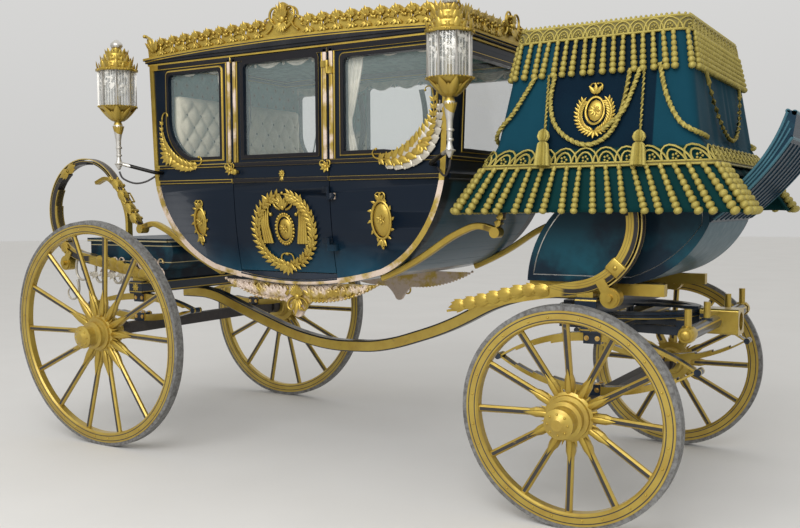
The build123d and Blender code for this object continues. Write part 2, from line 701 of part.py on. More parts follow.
def window(outline, grow=0.0):
    """The side view of a window, larger all round by the growth."""
    rear, front, top, rear_sweep, front_sweep = outline
    rear, front, base, top = rear - grow, front + grow, GLASS_BASE_Z - grow, top + grow
    corner = WINDOW_CORNER
    shift = corner * (1 - cos(radians(45)))
    low_rear = [(rear + along, base + up) for along, up in rear_sweep or [(0, 0)]]
    low_front = [(front - along, base + up) for along, up in front_sweep or [(0, 0)]]
    curves = [
        Line((rear, top - corner), low_rear[0]),
        Line(low_rear[-1], low_front[-1]),
        Line(low_front[0], (front, top - corner)),
        ThreePointArc((front, top - corner), (front - shift, top - shift), (front - corner, top)),
        Line((front - corner, top), (rear + corner, top)),
        ThreePointArc((rear + corner, top), (rear + shift, top - shift), (rear, top - corner)),
    ]
    curves += [ThreePointArc(*points) for points in (low_rear, low_front) if len(points) == 3]
    return curves


for outline in windows:
    side_wall -= side_plate(window(outline), -WIDE, 0)

# Raised mouldings: a frame round each side and each window, and two rails at the belt
side_skin = end_plate(body_section(-MOULDING_PROUD), *body_ends) - end_plate(body_section(), *body_ends)
end_skin = side_plate(body_side(-MOULDING_PROUD), -WIDE, WIDE) - side_plate(body_side(), -WIDE, WIDE)
belt_rails = [
    # base, top
    (BELT_Z - 48, BELT_Z - 26),
    (GLASS_BASE_Z - 63, GLASS_BASE_Z - 41),
]
rails = [block(body_ends, (-WIDE, WIDE), heights) for heights in belt_rails]
inner_edge = side_plate(body_side(EDGE_MOULDING, ROOF_BASE_Z - EDGE_MOULDING), -WIDE, WIDE)
side_outline = side_plate(body_side(), -WIDE, WIDE)
raised = (side_outline - inner_edge).fuse(*[rail & side_outline for rail in rails])
for outline in windows:
    frame = side_plate(window(outline, FRAME_MOULDING), -WIDE, WIDE)
    raised = raised.fuse(frame - side_plate(window(outline), -WIDE, WIDE))
side_wall = side_wall.fuse((raised & side_skin) & right_half)
end_mouldings = rails[0].fuse(rails[1]) & end_skin & section_ends

door_limits = (DOOR_REAR, DOOR_FRONT)
gap_limits = (DOOR_REAR - MOVING_GAP, DOOR_FRONT + MOVING_GAP)
rear_quarter = side_wall & block((body_ends[0], gap_limits[0]), (-WIDE, 0), (LOW, HIGH))
front_quarter = side_wall & block((gap_limits[1], body_ends[1]), (-WIDE, 0), (LOW, HIGH))
right_door = side_wall & block(door_limits, (-WIDE, 0), (DOOR_BASE_Z, ROOF_BASE_Z - MOVING_GAP))
sill = side_wall & block(gap_limits, (-WIDE, 0), (LOW, DOOR_BASE_Z - MOVING_GAP))

# Door hinges: knuckles stacked on one upright line outside the front pillar
hinge_y = -(BODY_HALF_WIDTH + HINGE_STANDOFF)
hinge_x = DOOR_FRONT + MOVING_GAP / 2
hinge_heights = [DOOR_BASE_Z + 158, BELT_Z - 115, ROOF_BASE_Z - 110]


def knuckle(z, toward):
    """One hinge knuckle and its leaf; toward is -1 on the door and 1 on the pillar."""
    low = z + SEAM / 2 if toward < 0 else z - KNUCKLE - SEAM / 2
    barrel = Pos(hinge_x, hinge_y, low) * standing(HINGE_RADIUS, KNUCKLE)
    leaf_end = hinge_x + toward * HINGE_LEAF
    x_range = sorted((hinge_x, leaf_end))
    root_range = sorted((hinge_x + toward * (MOVING_GAP / 2 + SEAM), leaf_end))
    arm = block(x_range, (hinge_y - 4, hinge_y + 4), (low, low + KNUCKLE))
    root = block(root_range, (hinge_y - 4, -BODY_HALF_WIDTH + WALL), (low, low + KNUCKLE))
    return barrel.fuse(arm, root)


for z in hinge_heights:
    right_door = right_door.fuse(knuckle(z, -1) - section_inner)
    front_quarter = front_quarter.fuse(knuckle(z, 1) - section_inner)

# Door handle: a turned knob on the rear stile
handle = Pos(DOOR_REAR + 36, -BODY_HALF_WIDTH + 1, BELT_Z + 12) * Rot(90, 0, 0) * upright(
    [(13, 0), (9, 12), (8, 22), (17, 30), (17, 38), (10, 46)]
)
right_door = right_door.fuse(handle)
save("right_door", right_door)
save("left_door", mirrored(right_door))
save("right_rear_quarter", rear_quarter)
save("left_rear_quarter", mirrored(rear_quarter))
save("right_front_quarter", front_quarter)
save("left_front_quarter", mirrored(front_quarter))

# Panes sit in the middle of each wall, just inside their openings
pane_y = -BODY_HALF_WIDTH + WALL / 2
panes = []
for outline in windows:
    pane = side_plate(window(outline, -SEAM), pane_y - GLASS_THICK / 2, pane_y + GLASS_THICK / 2)
    panes.append(pane)
save("right_door_glass", panes[1])
save("left_door_glass", mirrored(panes[1]))

# End walls and floor: the curved boat-shaped shell between the two side walls
FLOOR_REAR = BODY_MIDDLE - BILGE_HALF
FLOOR_FRONT = BODY_MIDDLE + BILGE_HALF
END_WINDOW_HALF = BODY_HALF_WIDTH - 170
END_WINDOW_TOP = ROOF_BASE_Z - 80


def end_window(x_range, grow=0.0):
    """The opening of the front window, larger all round by the growth."""
    half = END_WINDOW_HALF + grow
    return block(x_range, (-half, half), (GLASS_BASE_Z - grow, END_WINDOW_TOP + grow))


front_end = (FLOOR_FRONT + SEAM, body_ends[1])
front_frame = (end_window(front_end, FRAME_MOULDING) - end_window(front_end)) & end_skin
moulded_ends = end_wall.fuse(end_mouldings, front_frame)
front_panel = (moulded_ends & block(front_end, (-WIDE, WIDE), (LOW, ROOF_BASE_Z))) - end_window(front_end)
rear_panel = moulded_ends & block((body_ends[0], FLOOR_REAR - SEAM), (-WIDE, WIDE), (LOW, ROOF_BASE_Z))
floor_part = end_wall & block((FLOOR_REAR, FLOOR_FRONT), (-WIDE, WIDE), (LOW, SHOULDER_Z))
sill_space = block(gap_limits, (-WIDE, WIDE), (LOW, DOOR_BASE_Z - MOVING_GAP))
sill_bridge = (body_outer - side_inner) & sill_space
body_floor = floor_part.fuse(sill_bridge, sill, mirrored(sill))
save("front_panel", front_panel)
save("rear_panel", rear_panel)
save("body_floor", body_floor)

front_glass_x = BODY_MIDDLE + BODY_BELT_HALF - WALL / 2 + 8
front_glass = end_window((front_glass_x - GLASS_THICK / 2, front_glass_x + GLASS_THICK / 2), -SEAM)
save("body_glass", panes[0], mirrored(panes[0]), panes[2], mirrored(panes[2]), front_glass)

# Seats: a wooden box, a cushion and a backrest at each end of the cabin
SEAT_TOP_Z = BODY_BASE_Z + SEAT_RISE
SEAT_HALF = BODY_HALF_WIDTH - WALL - 18
BACK_THICK = 92.0
BACK_CLEAR = 38.0
LINING_CLEAR = 1.0
PADDING_ROUND = 26.0
back_heights = {
    # the front backrest stops under the front window
    -1: ROOF_BASE_Z - 180,
    1: GLASS_BASE_Z - 25,
}
cabin_space = side_plate(body_side(WALL + LINING_CLEAR), -WIDE, WIDE) & end_plate(
    body_section(WALL + LINING_CLEAR), *body_ends
)
inner_end = BODY_BELT_HALF - WALL - 2
seat_front = inner_end - SEAT_DEPTH
back_face = inner_end - BACK_CLEAR
seat_boxes = []
cushions = []
backrests = []
for end, back_top in back_heights.items():
    reach = sorted((BODY_MIDDLE + end * seat_front, BODY_MIDDLE + end * LONG))
    seat_boxes.append(block(reach, (-WIDE, WIDE), (LOW, SEAT_TOP_Z)) & cabin_space)
    reach = sorted((BODY_MIDDLE + end * (seat_front - 18), BODY_MIDDLE + end * (inner_end - 74)))
    cushion_top = SEAT_TOP_Z + CUSHION
    cushion = block(reach, (-SEAT_HALF, SEAT_HALF), (SEAT_TOP_Z + SEAM, cushion_top))
    cushions.append(fillet(cushion.edges(), PADDING_ROUND))
    reach = sorted((BODY_MIDDLE + end * (back_face - BACK_THICK), BODY_MIDDLE + end * back_face))
    backrest = block(reach, (-SEAT_HALF - 4, SEAT_HALF + 4), (cushion_top + SEAM, back_top))
    backrests.append(fillet(backrest.edges(), PADDING_ROUND))
save("seat_boxes", *seat_boxes)
save("seat_cushions", *cushions)
save("seat_backrests", *backrests)


# Roof: a stepped cornice with an arched top edge, and a low dome inside it
cornice_half = BODY_TOP_HALF + CORNICE_OVERHANG
cornice_steps = [
    # base, top, share of the overhang
    (0.0, 15.0, 0.35),
    (15.0, 30.0, 0.7),
]


def cornice_form(lift=0.0):
    """The upper part of the cornice, its arched top edge raised by the lift."""
    base = ROOF_BASE_Z + cornice_steps[-1][1]
    z = ROOF_BASE_Z + CORNICE_DEPTH + lift
    ends = [BODY_MIDDLE - cornice_half, BODY_MIDDLE + cornice_half]
    curves = [
        ThreePointArc((ends[0], z), (BODY_MIDDLE, z + CORNICE_ARCH), (ends[1], z)),
        Line((ends[1], z), (ends[1], base)),
        Line((ends[1], base), (ends[0], base)),
        Line((ends[0], base), (ends[0], z)),
    ]
    return side_plate(curves, -CORNICE_HALF_WIDTH, CORNICE_HALF_WIDTH)


cornice = cornice_form()
for base, top, share in cornice_steps:
    half = BODY_TOP_HALF + share * CORNICE_OVERHANG
    wide = BODY_HALF_WIDTH + share * CORNICE_SIDE
    step = block((-half, half), (-wide, wide), (ROOF_BASE_Z + base, ROOF_BASE_Z + top))
    cornice = cornice.fuse(Pos(BODY_MIDDLE, 0, 0) * step)

DOME_SETBACK = 45.0
DOME_HOLLOW = 60.0
dome_z = ROOF_BASE_Z + CORNICE_DEPTH - 4


def vault(half, rise):
    """An arched outline over a level base just below the roof's underside."""
    return [
        ThreePointArc((-half, dome_z), (0, dome_z + rise + CORNICE_ARCH), (half, dome_z)),
        Line((half, dome_z), (half, ROOF_BASE_Z - 1)),
        Line((half, ROOF_BASE_Z - 1), (-half, ROOF_BASE_Z - 1)),
        Line((-half, ROOF_BASE_Z - 1), (-half, dome_z)),
    ]


def dome(inset, rise):
    """The low crown of the roof, as the meeting of a long vault and a cross one."""
    along = side_plate(vault(cornice_half - DOME_SETBACK - inset, rise), -WIDE, WIDE)
    across = end_plate(vault(CORNICE_HALF_WIDTH - DOME_SETBACK - inset, rise), *body_ends)
    return (Pos(BODY_MIDDLE, 0, 0) * along) & across


above_base = block(body_ends, (-WIDE, WIDE), (ROOF_BASE_Z, HIGH))
roof = cornice.fuse(dome(0, DOME_RISE) & above_base) - dome(DOME_HOLLOW, DOME_RISE - 36)
save("roof", roof)

# Roof gallery: four pierced rails that stand on the cornice. Each has a scalloped upper
# edge between a crest at its middle and a horn at each end.
GALLERY_SETBACK = 8.0
CREST_HALF = 130.0
HORN_WIDE = 60.0
HORN_RISE = 40.0
PIERCING = 15.0
rail_base = ROOF_BASE_Z + CORNICE_DEPTH


def gallery_rail(half, arch, crest_rise, scallops):
    """One rail about its own middle: half its length, the rise of the cornice under its
    middle, the height of its crest and the number of scallops on each side."""

    def edge_z(x):
        return rail_base + GALLERY_HEIGHT - 14 + arch * (1 - (x / cornice_half) ** 2)

    curves = []
    pitch = (half - HORN_WIDE - CREST_HALF) / scallops
    for side in (-1, 1):
        ends = [side * (CREST_HALF + count * pitch) for count in range(scallops + 1)]
        for near, far in zip(ends, ends[1:]):
            crown = ((near + far) / 2, edge_z((near + far) / 2) + pitch * 0.3)
            curves.append(ThreePointArc((near, edge_z(near)), crown, (far, edge_z(far))))
        foot = side * CREST_HALF
        crest_z = edge_z(0) + crest_rise
        hollow = (side * 62, crest_z - crest_rise * 0.62)
        curves.append(ThreePointArc((side * 26, crest_z), hollow, (foot, edge_z(foot))))
        horn = side * (half - HORN_WIDE)
        tip = (side * (half + 16), edge_z(half) + HORN_RISE)
        curves.append(ThreePointArc((horn, edge_z(horn)), (side * (half - 18), edge_z(half) + 4), tip))
        curves.append(Line(tip, (side * half, rail_base)))
    curves.append(ThreePointArc((-26, crest_z), (0, crest_z + 14), (26, crest_z)))
    curves.append(Line((-half, rail_base), (half, rail_base)))
    holes = []
    for side in (-1, 1):
        for count in range(scallops):
            x = side * (CREST_HALF + (count + 0.5) * pitch)
            holes.append((x, edge_z(x) - GALLERY_HEIGHT * 0.36))
    return curves, holes


def pierced(curves, holes, plate, plane_turn):
    """A rail with an eight-sided piercing under each scallop."""
    rail = plate(curves, 0, GALLERY_THICK)
    for x, z in holes:
        cutter = extrude(RegularPolygon(PIERCING, 8), amount=4 * GALLERY_THICK, both=True)
        rail -= plane_turn * Pos(x, z, 0) * cutter
    return rail


cornice_clear = cornice_form(SEAM)
side_curves = gallery_rail(cornice_half - 44, CORNICE_ARCH, 92.0, 9)
end_curves = gallery_rail(CORNICE_HALF_WIDTH - 60, 0.0, 60.0, 5)
side_rail = pierced(*side_curves, side_plate, Rot(90, 0, 0))
side_rail = Pos(BODY_MIDDLE, GALLERY_SETBACK - CORNICE_HALF_WIDTH, 0) * side_rail - cornice_clear
end_rail = pierced(*end_curves, end_plate, Rot(0, 0, 90) * Rot(90, 0, 0))
end_places = (
    BODY_MIDDLE - cornice_half + GALLERY_SETBACK,
    BODY_MIDDLE + cornice_half - GALLERY_SETBACK - GALLERY_THICK,
)
end_rails = [Pos(x, 0, 0) * end_rail - cornice_clear for x in end_places]
save("roof_gallery", side_rail, mirrored(side_rail), *end_rails)


# Body loops: curled iron arms from the body's lower corners to the braces
LOOP_BREADTH = 40.0
LOOP_DEPTH = 34.0
CURL_LIFT = 10.0
loop_route = [
    # distance from the body's middle, height above its base
    (BILGE_HALF - 30, 57),
    (BILGE_HALF + 70, 100),
    (SHOULDER_HALF - 105, 165),
    (SHOULDER_HALF + 90, 290),
    (LOOP_REACH - 102, LOOP_RISE + 40),
    (LOOP_REACH, LOOP_RISE + CURL_LIFT),
]


def body_loop(forward):
    """One loop at y 0, from under the body to its curled end."""
    path = [(BODY_MIDDLE + forward * reach, 0, BODY_BASE_Z + rise) for reach, rise in loop_route]
    bar = swept_bar(path, RectangleRounded(LOOP_BREADTH, LOOP_DEPTH, 8))
    curl = Pos(BODY_MIDDLE + forward * LOOP_REACH, 0, LOOP_Z) * Rot(90, 0, 0) * Cylinder(CURL_RADIUS, 60)
    return bar.fuse(curl)


body_clear = side_plate(body_side(-SEAM), -WIDE, WIDE)
loops = []
for forward in (-1, 1):
    loop = Pos(0, -SPRING_SPREAD, 0) * (body_loop(forward) - body_clear)
    loops += [loop, mirrored(loop)]
save("body_loops", *loops)


# Leather braces: over the back of each C-spring and down to the body loop
def brace(centre, forward):
    """One strap: up from the jack, over its spring and down to a loop's curl."""
    outer = BRACE_RADIUS + BRACE_THICK
    reach = (BODY_MIDDLE - forward * LOOP_REACH - centre[0]) * forward
    drop = LOOP_Z - centre[1]
    leave = atan2(drop, reach) + acos((BRACE_RADIUS + BRACE_THICK / 2) / hypot(reach, drop))
    start = radians(JACK_ANGLE)
    middle = (start + leave) / 2
    curl_x = centre[0] + forward * reach

    def at(radius, angle):
        return centre[0] + forward * radius * cos(angle), centre[1] + radius * sin(angle)

    def at_curl(offset):
        return curl_x + forward * offset * cos(leave), LOOP_Z + offset * sin(leave)

    curves = [
        ThreePointArc(at(BRACE_RADIUS, start), at(BRACE_RADIUS, middle), at(BRACE_RADIUS, leave)),
        Line(at(BRACE_RADIUS, leave), at_curl(-BRACE_THICK / 2)),
        Line(at_curl(-BRACE_THICK / 2), at_curl(BRACE_THICK / 2)),
        Line(at_curl(BRACE_THICK / 2), at(outer, leave)),
        ThreePointArc(at(outer, leave), at(outer, middle), at(outer, start)),
        Line(at(outer, start), at(BRACE_RADIUS, start)),
    ]
    curl_clear = Pos(curl_x, 0, LOOP_Z) * Rot(90, 0, 0) * Cylinder(CURL_RADIUS + SEAM, 100)
    return side_plate(curves, -C_BREADTH / 2, C_BREADTH / 2) - curl_clear


braces = [
    Pos(0, -SPRING_SPREAD, 0) * brace(centre, forward)
    for centre, forward in ((REAR_C_CENTRE, 1), (FRONT_C_CENTRE, -1))
]
save("rear_braces", braces[0], mirrored(braces[0]))
save("front_braces", braces[1], mirrored(braces[1]))

# Carved apron under each sill: a shaped board with a pendant at its middle
APRON_HALF = 530.0
APRON_TOP_RISE = 17.0
APRON_Y = -(BODY_HALF_WIDTH - TURN_UNDER - 10)
APRON_THICK = 24.0
apron_edge = [
    # distance from the body's middle, height above its base, of each arc's end and crown
    ((APRON_HALF, APRON_TOP_RISE), (325, -65), (95, -90)),
    ((95, -90), (52, -128), (24, -170)),
]
apron_curves = [Line((-APRON_HALF, APRON_TOP_RISE), (APRON_HALF, APRON_TOP_RISE))]
for points in apron_edge:
    for side in (-1, 1):
        apron_curves.append(ThreePointArc(*[(side * along, rise) for along, rise in points]))
apron_curves.append(ThreePointArc((-24, -170), (0, -182), (24, -170)))
apron = side_plate(apron_curves, APRON_Y, APRON_Y + APRON_THICK)
apron = Pos(BODY_MIDDLE, 0, BODY_BASE_Z) * apron - body_clear
save("side_aprons", apron, mirrored(apron))


# Lamps: a turned cup on a stem, an eight-sided glass in thin posts, and a stepped crown
LAMP_SIDES = 8
LAMP_TRAY = 40.0
LAMP_POST = 9.0
LAMP_FOOT = 70.0
GLASS_INSET = 16.0
cup_profile = [
    # radius, height above the belt
    (6, 40),
    (22, 70),
    (12, 110),
    (16, 180),
    (30, 230),
    (20, 260),
    (LAMP_FOOT, LAMP_BASE_RISE),
]
crown_tiers = [
    # radius, height above the crown's base
    (LAMP_RADIUS + 4, 0),
    (LAMP_RADIUS + 4, 12),
    (LAMP_RADIUS - 30, 24),
    (LAMP_RADIUS - 22, 44),
    (LAMP_RADIUS - 58, 62),
    (LAMP_RADIUS - 50, 84),
    (LAMP_RADIUS - 84, 104),
    (26, 118),
    (30, 128),
    (10, LAMP_TOP_RISE - LAMP_CROWN_RISE),
]


def tier(radius, z):
    """One level of a lamp's eight-sided metalwork."""
    return Pos(0, 0, z) * RegularPolygon(radius, LAMP_SIDES)


def lamp(x, corner_x):
    """The metalwork of one lamp and the bracket that holds it to the body's corner."""
    cup = upright([(radius, BELT_Z + rise) for radius, rise in cup_profile])
    tray = loft([tier(LAMP_FOOT, LAMP_BASE_Z), tier(LAMP_RADIUS, LAMP_BASE_Z + LAMP_TRAY)])
    crown = loft([tier(radius, LAMP_CROWN_Z + rise) for radius, rise in crown_tiers], ruled=True)
    post_z = (LAMP_BASE_Z + LAMP_TRAY, LAMP_CROWN_Z)
    post = block((LAMP_RADIUS - 6 - LAMP_POST, LAMP_RADIUS - 6), (-LAMP_POST / 2, LAMP_POST / 2), post_z)
    posts = [Rot(0, 0, 360 / LAMP_SIDES * count) * post for count in range(LAMP_SIDES)]
    head = Pos(x, -LAMP_SPREAD, 0) * cup.fuse(tray, crown, *posts)
    arm_z = BELT_Z + 20
    arm = [
        (corner_x, -BODY_HALF_WIDTH - SEAM, arm_z),
        (corner_x, -BODY_HALF_WIDTH - 60, arm_z),
        (x, -LAMP_SPREAD, arm_z + 60),
    ]
    return head.fuse(swept_bar(arm, Circle(11), across=(1, 0, 0)))


def lamp_glass(x):
    """The hollow eight-sided glass inside the posts."""
    pane = RegularPolygon(LAMP_RADIUS - GLASS_INSET, LAMP_SIDES)
    pane -= RegularPolygon(LAMP_RADIUS - GLASS_INSET - GLASS_THICK, LAMP_SIDES)
    base = LAMP_BASE_Z + LAMP_TRAY + SEAM
    return Pos(x, -LAMP_SPREAD, base) * extrude(pane, amount=LAMP_CROWN_Z - SEAM - base)


lamp_table = [
    # name, lamp's place, body corner's place
    ("front_lamps", BODY_MIDDLE + BODY_BELT_HALF + LAMP_AHEAD, BODY_MIDDLE + BODY_BELT_HALF - 60),
    ("rear_lamps", BODY_MIDDLE - BODY_BELT_HALF - LAMP_BEHIND, BODY_MIDDLE - BODY_BELT_HALF + 60),
]
lamp_glasses = []
for name, lamp_x, corner_x in lamp_table:
    metalwork = lamp(lamp_x, corner_x)
    save(name, metalwork, mirrored(metalwork))
    glass = lamp_glass(lamp_x)
    lamp_glasses += [glass, mirrored(glass)]
save("lamp_glasses", *lamp_glasses)

# Footmen's stand behind the body: a boot on the rear bed, its board and two irons
STAND_REAR = -560.0
STAND_FRONT = 150.0
HEEL_LONG = 120.0
HEEL_HIGH = 90.0
stand_curves = [
    Line((STAND_REAR, STAND_BASE_Z + HEEL_HIGH), (STAND_REAR, STAND_TOP_Z)),
    Line((STAND_REAR, STAND_TOP_Z), (STAND_FRONT, STAND_TOP_Z)),
    ThreePointArc(
        (STAND_FRONT, STAND_TOP_Z), (STAND_FRONT + 40, STAND_BASE_Z + 110), (STAND_FRONT - 30, STAND_BASE_Z)
    ),
    Line((STAND_FRONT - 30, STAND_BASE_Z), (STAND_REAR + HEEL_LONG, STAND_BASE_Z)),
    ThreePointArc(
        (STAND_REAR + HEEL_LONG, STAND_BASE_Z),
        (STAND_REAR + 40, STAND_BASE_Z + 25),
        (STAND_REAR, STAND_BASE_Z + HEEL_HIGH),
    ),
]
BOARD_THICK = 24.0
BOARD_LIP = 16.0
stand = side_plate(stand_curves, -STAND_HALF_WIDTH, STAND_HALF_WIDTH)
tread = block(
    (STAND_REAR - BOARD_LIP, STAND_FRONT),
    (-STAND_HALF_WIDTH - BOARD_LIP, STAND_HALF_WIDTH + BOARD_LIP),
    (STAND_TOP_Z - BOARD_THICK, STAND_TOP_Z),
)
stand = stand.fuse(tread) - side_plate(body_side(-12), -WIDE, WIDE)
foot_half = STAND_HALF_WIDTH - 60
foot_block = block((-45, 45), (-foot_half, foot_half), (REAR_BED_TOP, STAND_BASE_Z))
save("footman_stand", stand.fuse(foot_block))

iron_route = [
    # along the carriage, height above the stand's board
    (-250, SEAM),
    (-250, 165),
    (-330, 325),
    (-440, 405),
    (-540, 365),
]
iron_path = [(x, 0, STAND_TOP_Z + rise) for x, rise in iron_route]
iron = Pos(0, -STAND_HALF_WIDTH + 50, 0) * swept_bar(iron_path, RectangleRounded(46, 24, 6))
save("stand_irons", iron, mirrored(iron))

# Boot rails and coach boot under the driving seat
RAIL_SPREAD = BOOT_HALF_WIDTH - 45
RAIL_HALF = 24.0
rails = []
for side in (-1, 1):
    y_range = (side * RAIL_SPREAD - RAIL_HALF, side * RAIL_SPREAD + RAIL_HALF)
    rails.append(block((FRONT_X - 380, FRONT_X + 290), y_range, (TRANSOM_TOP, RAIL_TOP)))
save("boot_rails", *rails)

BOOT_REAR = FRONT_X - 240
BOOT_FRONT = FRONT_X + 370
BOOT_PROW = FRONT_X + 492
BOOT_HEEL = 143.0
BOOT_KEEL_X = FRONT_X + 150
BOOT_ABOVE_SPRING = 25.0
BOOT_TOP_Z = FRONT_C_CENTRE[1] + C_RADIUS + BOOT_ABOVE_SPRING
PROW_LOW_Z = TRANSOM_TOP + 340
PROW_HIGH_Z = TRANSOM_TOP + 395


def boot_outline(inset=0.0):
    """The side view of the boot: a hull-shaped locker with an upright upper part."""
    rear, front, prow = BOOT_REAR + inset, BOOT_FRONT - inset, BOOT_PROW - inset
    heel = (rear - BOOT_HEEL, RAIL_TOP + inset)
    keel = (BOOT_KEEL_X - inset / 2, RAIL_TOP + inset)
    return [
        Line((rear, BOOT_TOP_Z), (rear, PROW_HIGH_Z)),
        ThreePointArc((rear, PROW_HIGH_Z), (rear - 108, RAIL_TOP + 168), heel),
        Line(heel, keel),
        ThreePointArc(keel, (front, RAIL_TOP + 113 + inset), (prow, PROW_LOW_Z)),
        Line((prow, PROW_LOW_Z), (prow, PROW_HIGH_Z)),
        Line((prow, PROW_HIGH_Z), (front, PROW_HIGH_Z + 70)),
        Line((front, PROW_HIGH_Z + 70), (front, BOOT_TOP_Z)),
        Line((front, BOOT_TOP_Z), (rear, BOOT_TOP_Z)),
    ]


BOOT_PANEL_DEPTH = 6.0
boot = side_plate(boot_outline(), -BOOT_HALF_WIDTH, BOOT_HALF_WIDTH)
for side in (-1, 1):
    faces = sorted((side * BOOT_HALF_WIDTH, side * (BOOT_HALF_WIDTH - BOOT_PANEL_DEPTH)))
    boot -= side_plate(boot_outline(EDGE_MOULDING), *faces) & block(
        (BOOT_REAR - LONG, BOOT_PROW), (-WIDE, WIDE), (LOW, BOOT_TOP_Z - EDGE_MOULDING)
    )
save("coach_boot", boot)

# Footboard: a curved dashboard in front of the boot, with a thicker upper edge
BOARD_HALF_WIDTH = BOOT_HALF_WIDTH - 10
board_foot = BOOT_PROW + SEAM - FRONT_X
board_curves = [
    # ahead of the axle, height above the lower edge of the boot's prow
    ThreePointArc((board_foot, 5), (680, 175), (830, 367)),
    Line((830, 367), (BOARD_TIP, 481)),
    Line((BOARD_TIP, 481), (806, 487)),
    ThreePointArc((806, 487), (690, 262), (board_foot, 88)),
    Line((board_foot, 88), (board_foot, 5)),
]
board_place = Pos(FRONT_X, 0, PROW_LOW_Z)
footboard = board_place * side_plate(board_curves, -BOARD_HALF_WIDTH, BOARD_HALF_WIDTH)
save("footboard", footboard)

# Hammercloth: the draped cover of the driving seat, closed above and open below
CLOTH_CORNER = 60.0
cloth_levels = [
    # reach behind the axle, reach ahead of it, half width, height above the boot's top
    (690, 695, BOOT_HALF_WIDTH + 223, -300),
    (480, 480, BOOT_HALF_WIDTH + 183, 20),
    (390, 400, BOOT_HALF_WIDTH + 80, 570),
]
cloth_skirt_z = BOOT_TOP_Z + cloth_levels[0][3]


def cloth_form(inset):
    """The flared form of the cloth, smaller all round by the inset."""
    sections = []
    for behind, ahead, half, rise in cloth_levels:
        outline = RectangleRounded(behind + ahead - 2 * inset, 2 * (half - inset), CLOTH_CORNER)
        sections.append(Pos(FRONT_X + (ahead - behind) / 2, 0, BOOT_TOP_Z + rise) * outline)
    return loft(sections, ruled=True)


BOARD_CLEAR = 16.0
CLOTH_TO_BODY = 20.0
below_seat = block((BODY_MIDDLE, SPLINTER_X + 600), (-WIDE, WIDE), (cloth_skirt_z - 1, BOOT_TOP_Z + SEAM))
hammercloth = cloth_form(0) - (cloth_form(CLOTH_WALL) & below_seat)
hammercloth -= side_plate(body_side(-CLOTH_TO_BODY), -WIDE, WIDE)
prow_ahead = BOOT_PROW - FRONT_X
board_slot = [
    # ahead of the axle, height above the cloth's lower edge
    Line((prow_ahead, -20), (940, -20)),
    Line((940, -20), (940, 500)),
    Line((940, 500), (700, 300)),
    ThreePointArc((700, 300), (600, 180), (prow_ahead, 90)),
    Line((prow_ahead, 90), (prow_ahead, -20)),
]
slot_half = BOARD_HALF_WIDTH + BOARD_CLEAR
hammercloth -= Pos(FRONT_X, 0, cloth_skirt_z) * side_plate(board_slot, -slot_half, slot_half)
save("hammercloth", hammercloth)

# Forecarriage: lower wheel plate and bed, which turn on the kingpin
turning_plate = Pos(FRONT_X, 0, TURNING_BED_TOP) * extrude(plate_ring, amount=WHEEL_PLATE_THICK)
turning_half = SPRING_SPREAD + BED_OVERHANG - 10
lower_bed = block(
    (FRONT_X - TURNING_BED_LENGTH / 2, FRONT_X + TURNING_BED_LENGTH / 2),
    (-turning_half, turning_half),
    (TURNING_BED_BASE, TURNING_BED_TOP),
)
kingpin_hole = Pos(FRONT_X, 0, TURNING_BED_BASE - 1) * standing(KINGPIN_RADIUS + PIN_FIT, 200)
save("turning_bed", turning_plate.fuse(lower_bed) - kingpin_hole)

# Futchells and splinter bar: two arms forward from the bed, the bar across them with
# its roller bolts for the traces, and the socket for the pole between them
FUTCHELL_HALF = 24.0
FUTCHELL_REACH = 320.0
SOCKET_HALF = POLE_RADIUS + SOCKET_WALL
SOCKET_END = 15.0
ROLLER_COLLAR = 10.0
futchell_top = TURNING_BED_BASE - SEAM
futchell_curves = Polyline(
    (FRONT_X - FUTCHELL_REACH, futchell_top),
    (FRONT_X + FUTCHELL_REACH, futchell_top),
    (SPLINTER_X, BAR_Z + 22),
    (SPLINTER_X, BAR_Z - 22),
    (FRONT_X + FUTCHELL_REACH, futchell_top - 44),
    (FRONT_X - FUTCHELL_REACH, futchell_top - 34),
    close=True,
)
packer_reach = ((WHEEL_PLATE_RADIUS - WHEEL_PLATE_RIM / 2) ** 2 - FUTCHELL_SPREAD**2) ** 0.5
arms = []
for side in (-1, 1):
    y_range = (side * FUTCHELL_SPREAD - FUTCHELL_HALF, side * FUTCHELL_SPREAD + FUTCHELL_HALF)
    arms.append(side_plate(futchell_curves, *y_range))
    for end in (-1, 1):
        packer_x = FRONT_X + end * packer_reach
        packer_z = (futchell_top - 10, TURNING_BED_TOP - SEAM)
        arms.append(block((packer_x - 20, packer_x + 20), y_range, packer_z))
bar = Pos(SPLINTER_X, 0, BAR_Z) * Rot(90, 0, 0) * Cylinder(SPLINTER_RADIUS, 2 * SPLINTER_HALF)
rollers = []
roller_spread = (50 - SPLINTER_HALF, -FUTCHELL_SPREAD - 80, FUTCHELL_SPREAD + 80, SPLINTER_HALF - 50)
for y in roller_spread:
    for radius, rise in (
        (ROLLER_RADIUS, SPLINTER_RADIUS + ROLLER_HEIGHT),
        (ROLLER_RADIUS + ROLLER_COLLAR, SPLINTER_RADIUS + 4),
    ):
        rollers.append(Pos(SPLINTER_X, y, BAR_Z) * standing(radius, rise))
socket = block(
    (SPLINTER_X - SOCKET_BACK, SPLINTER_X + SOCKET_FRONT),
    (-SOCKET_HALF, SOCKET_HALF),
    (BAR_Z - SOCKET_HALF + 4, BAR_Z + SOCKET_HALF - 4),
)
socket = fillet(socket.edges().filter_by(Axis.X), 12)
splinter_bar = bar.fuse(*arms, *rollers, socket)
socket_depth = SOCKET_FRONT + SOCKET_BACK - SOCKET_END
socket_mouth = Pos(SPLINTER_X + SOCKET_FRONT + 1, 0, BAR_Z) * Rot(0, -90, 0)
splinter_bar -= socket_mouth * standing(POLE_RADIUS, socket_depth)
save("splinter_bar", splinter_bar)
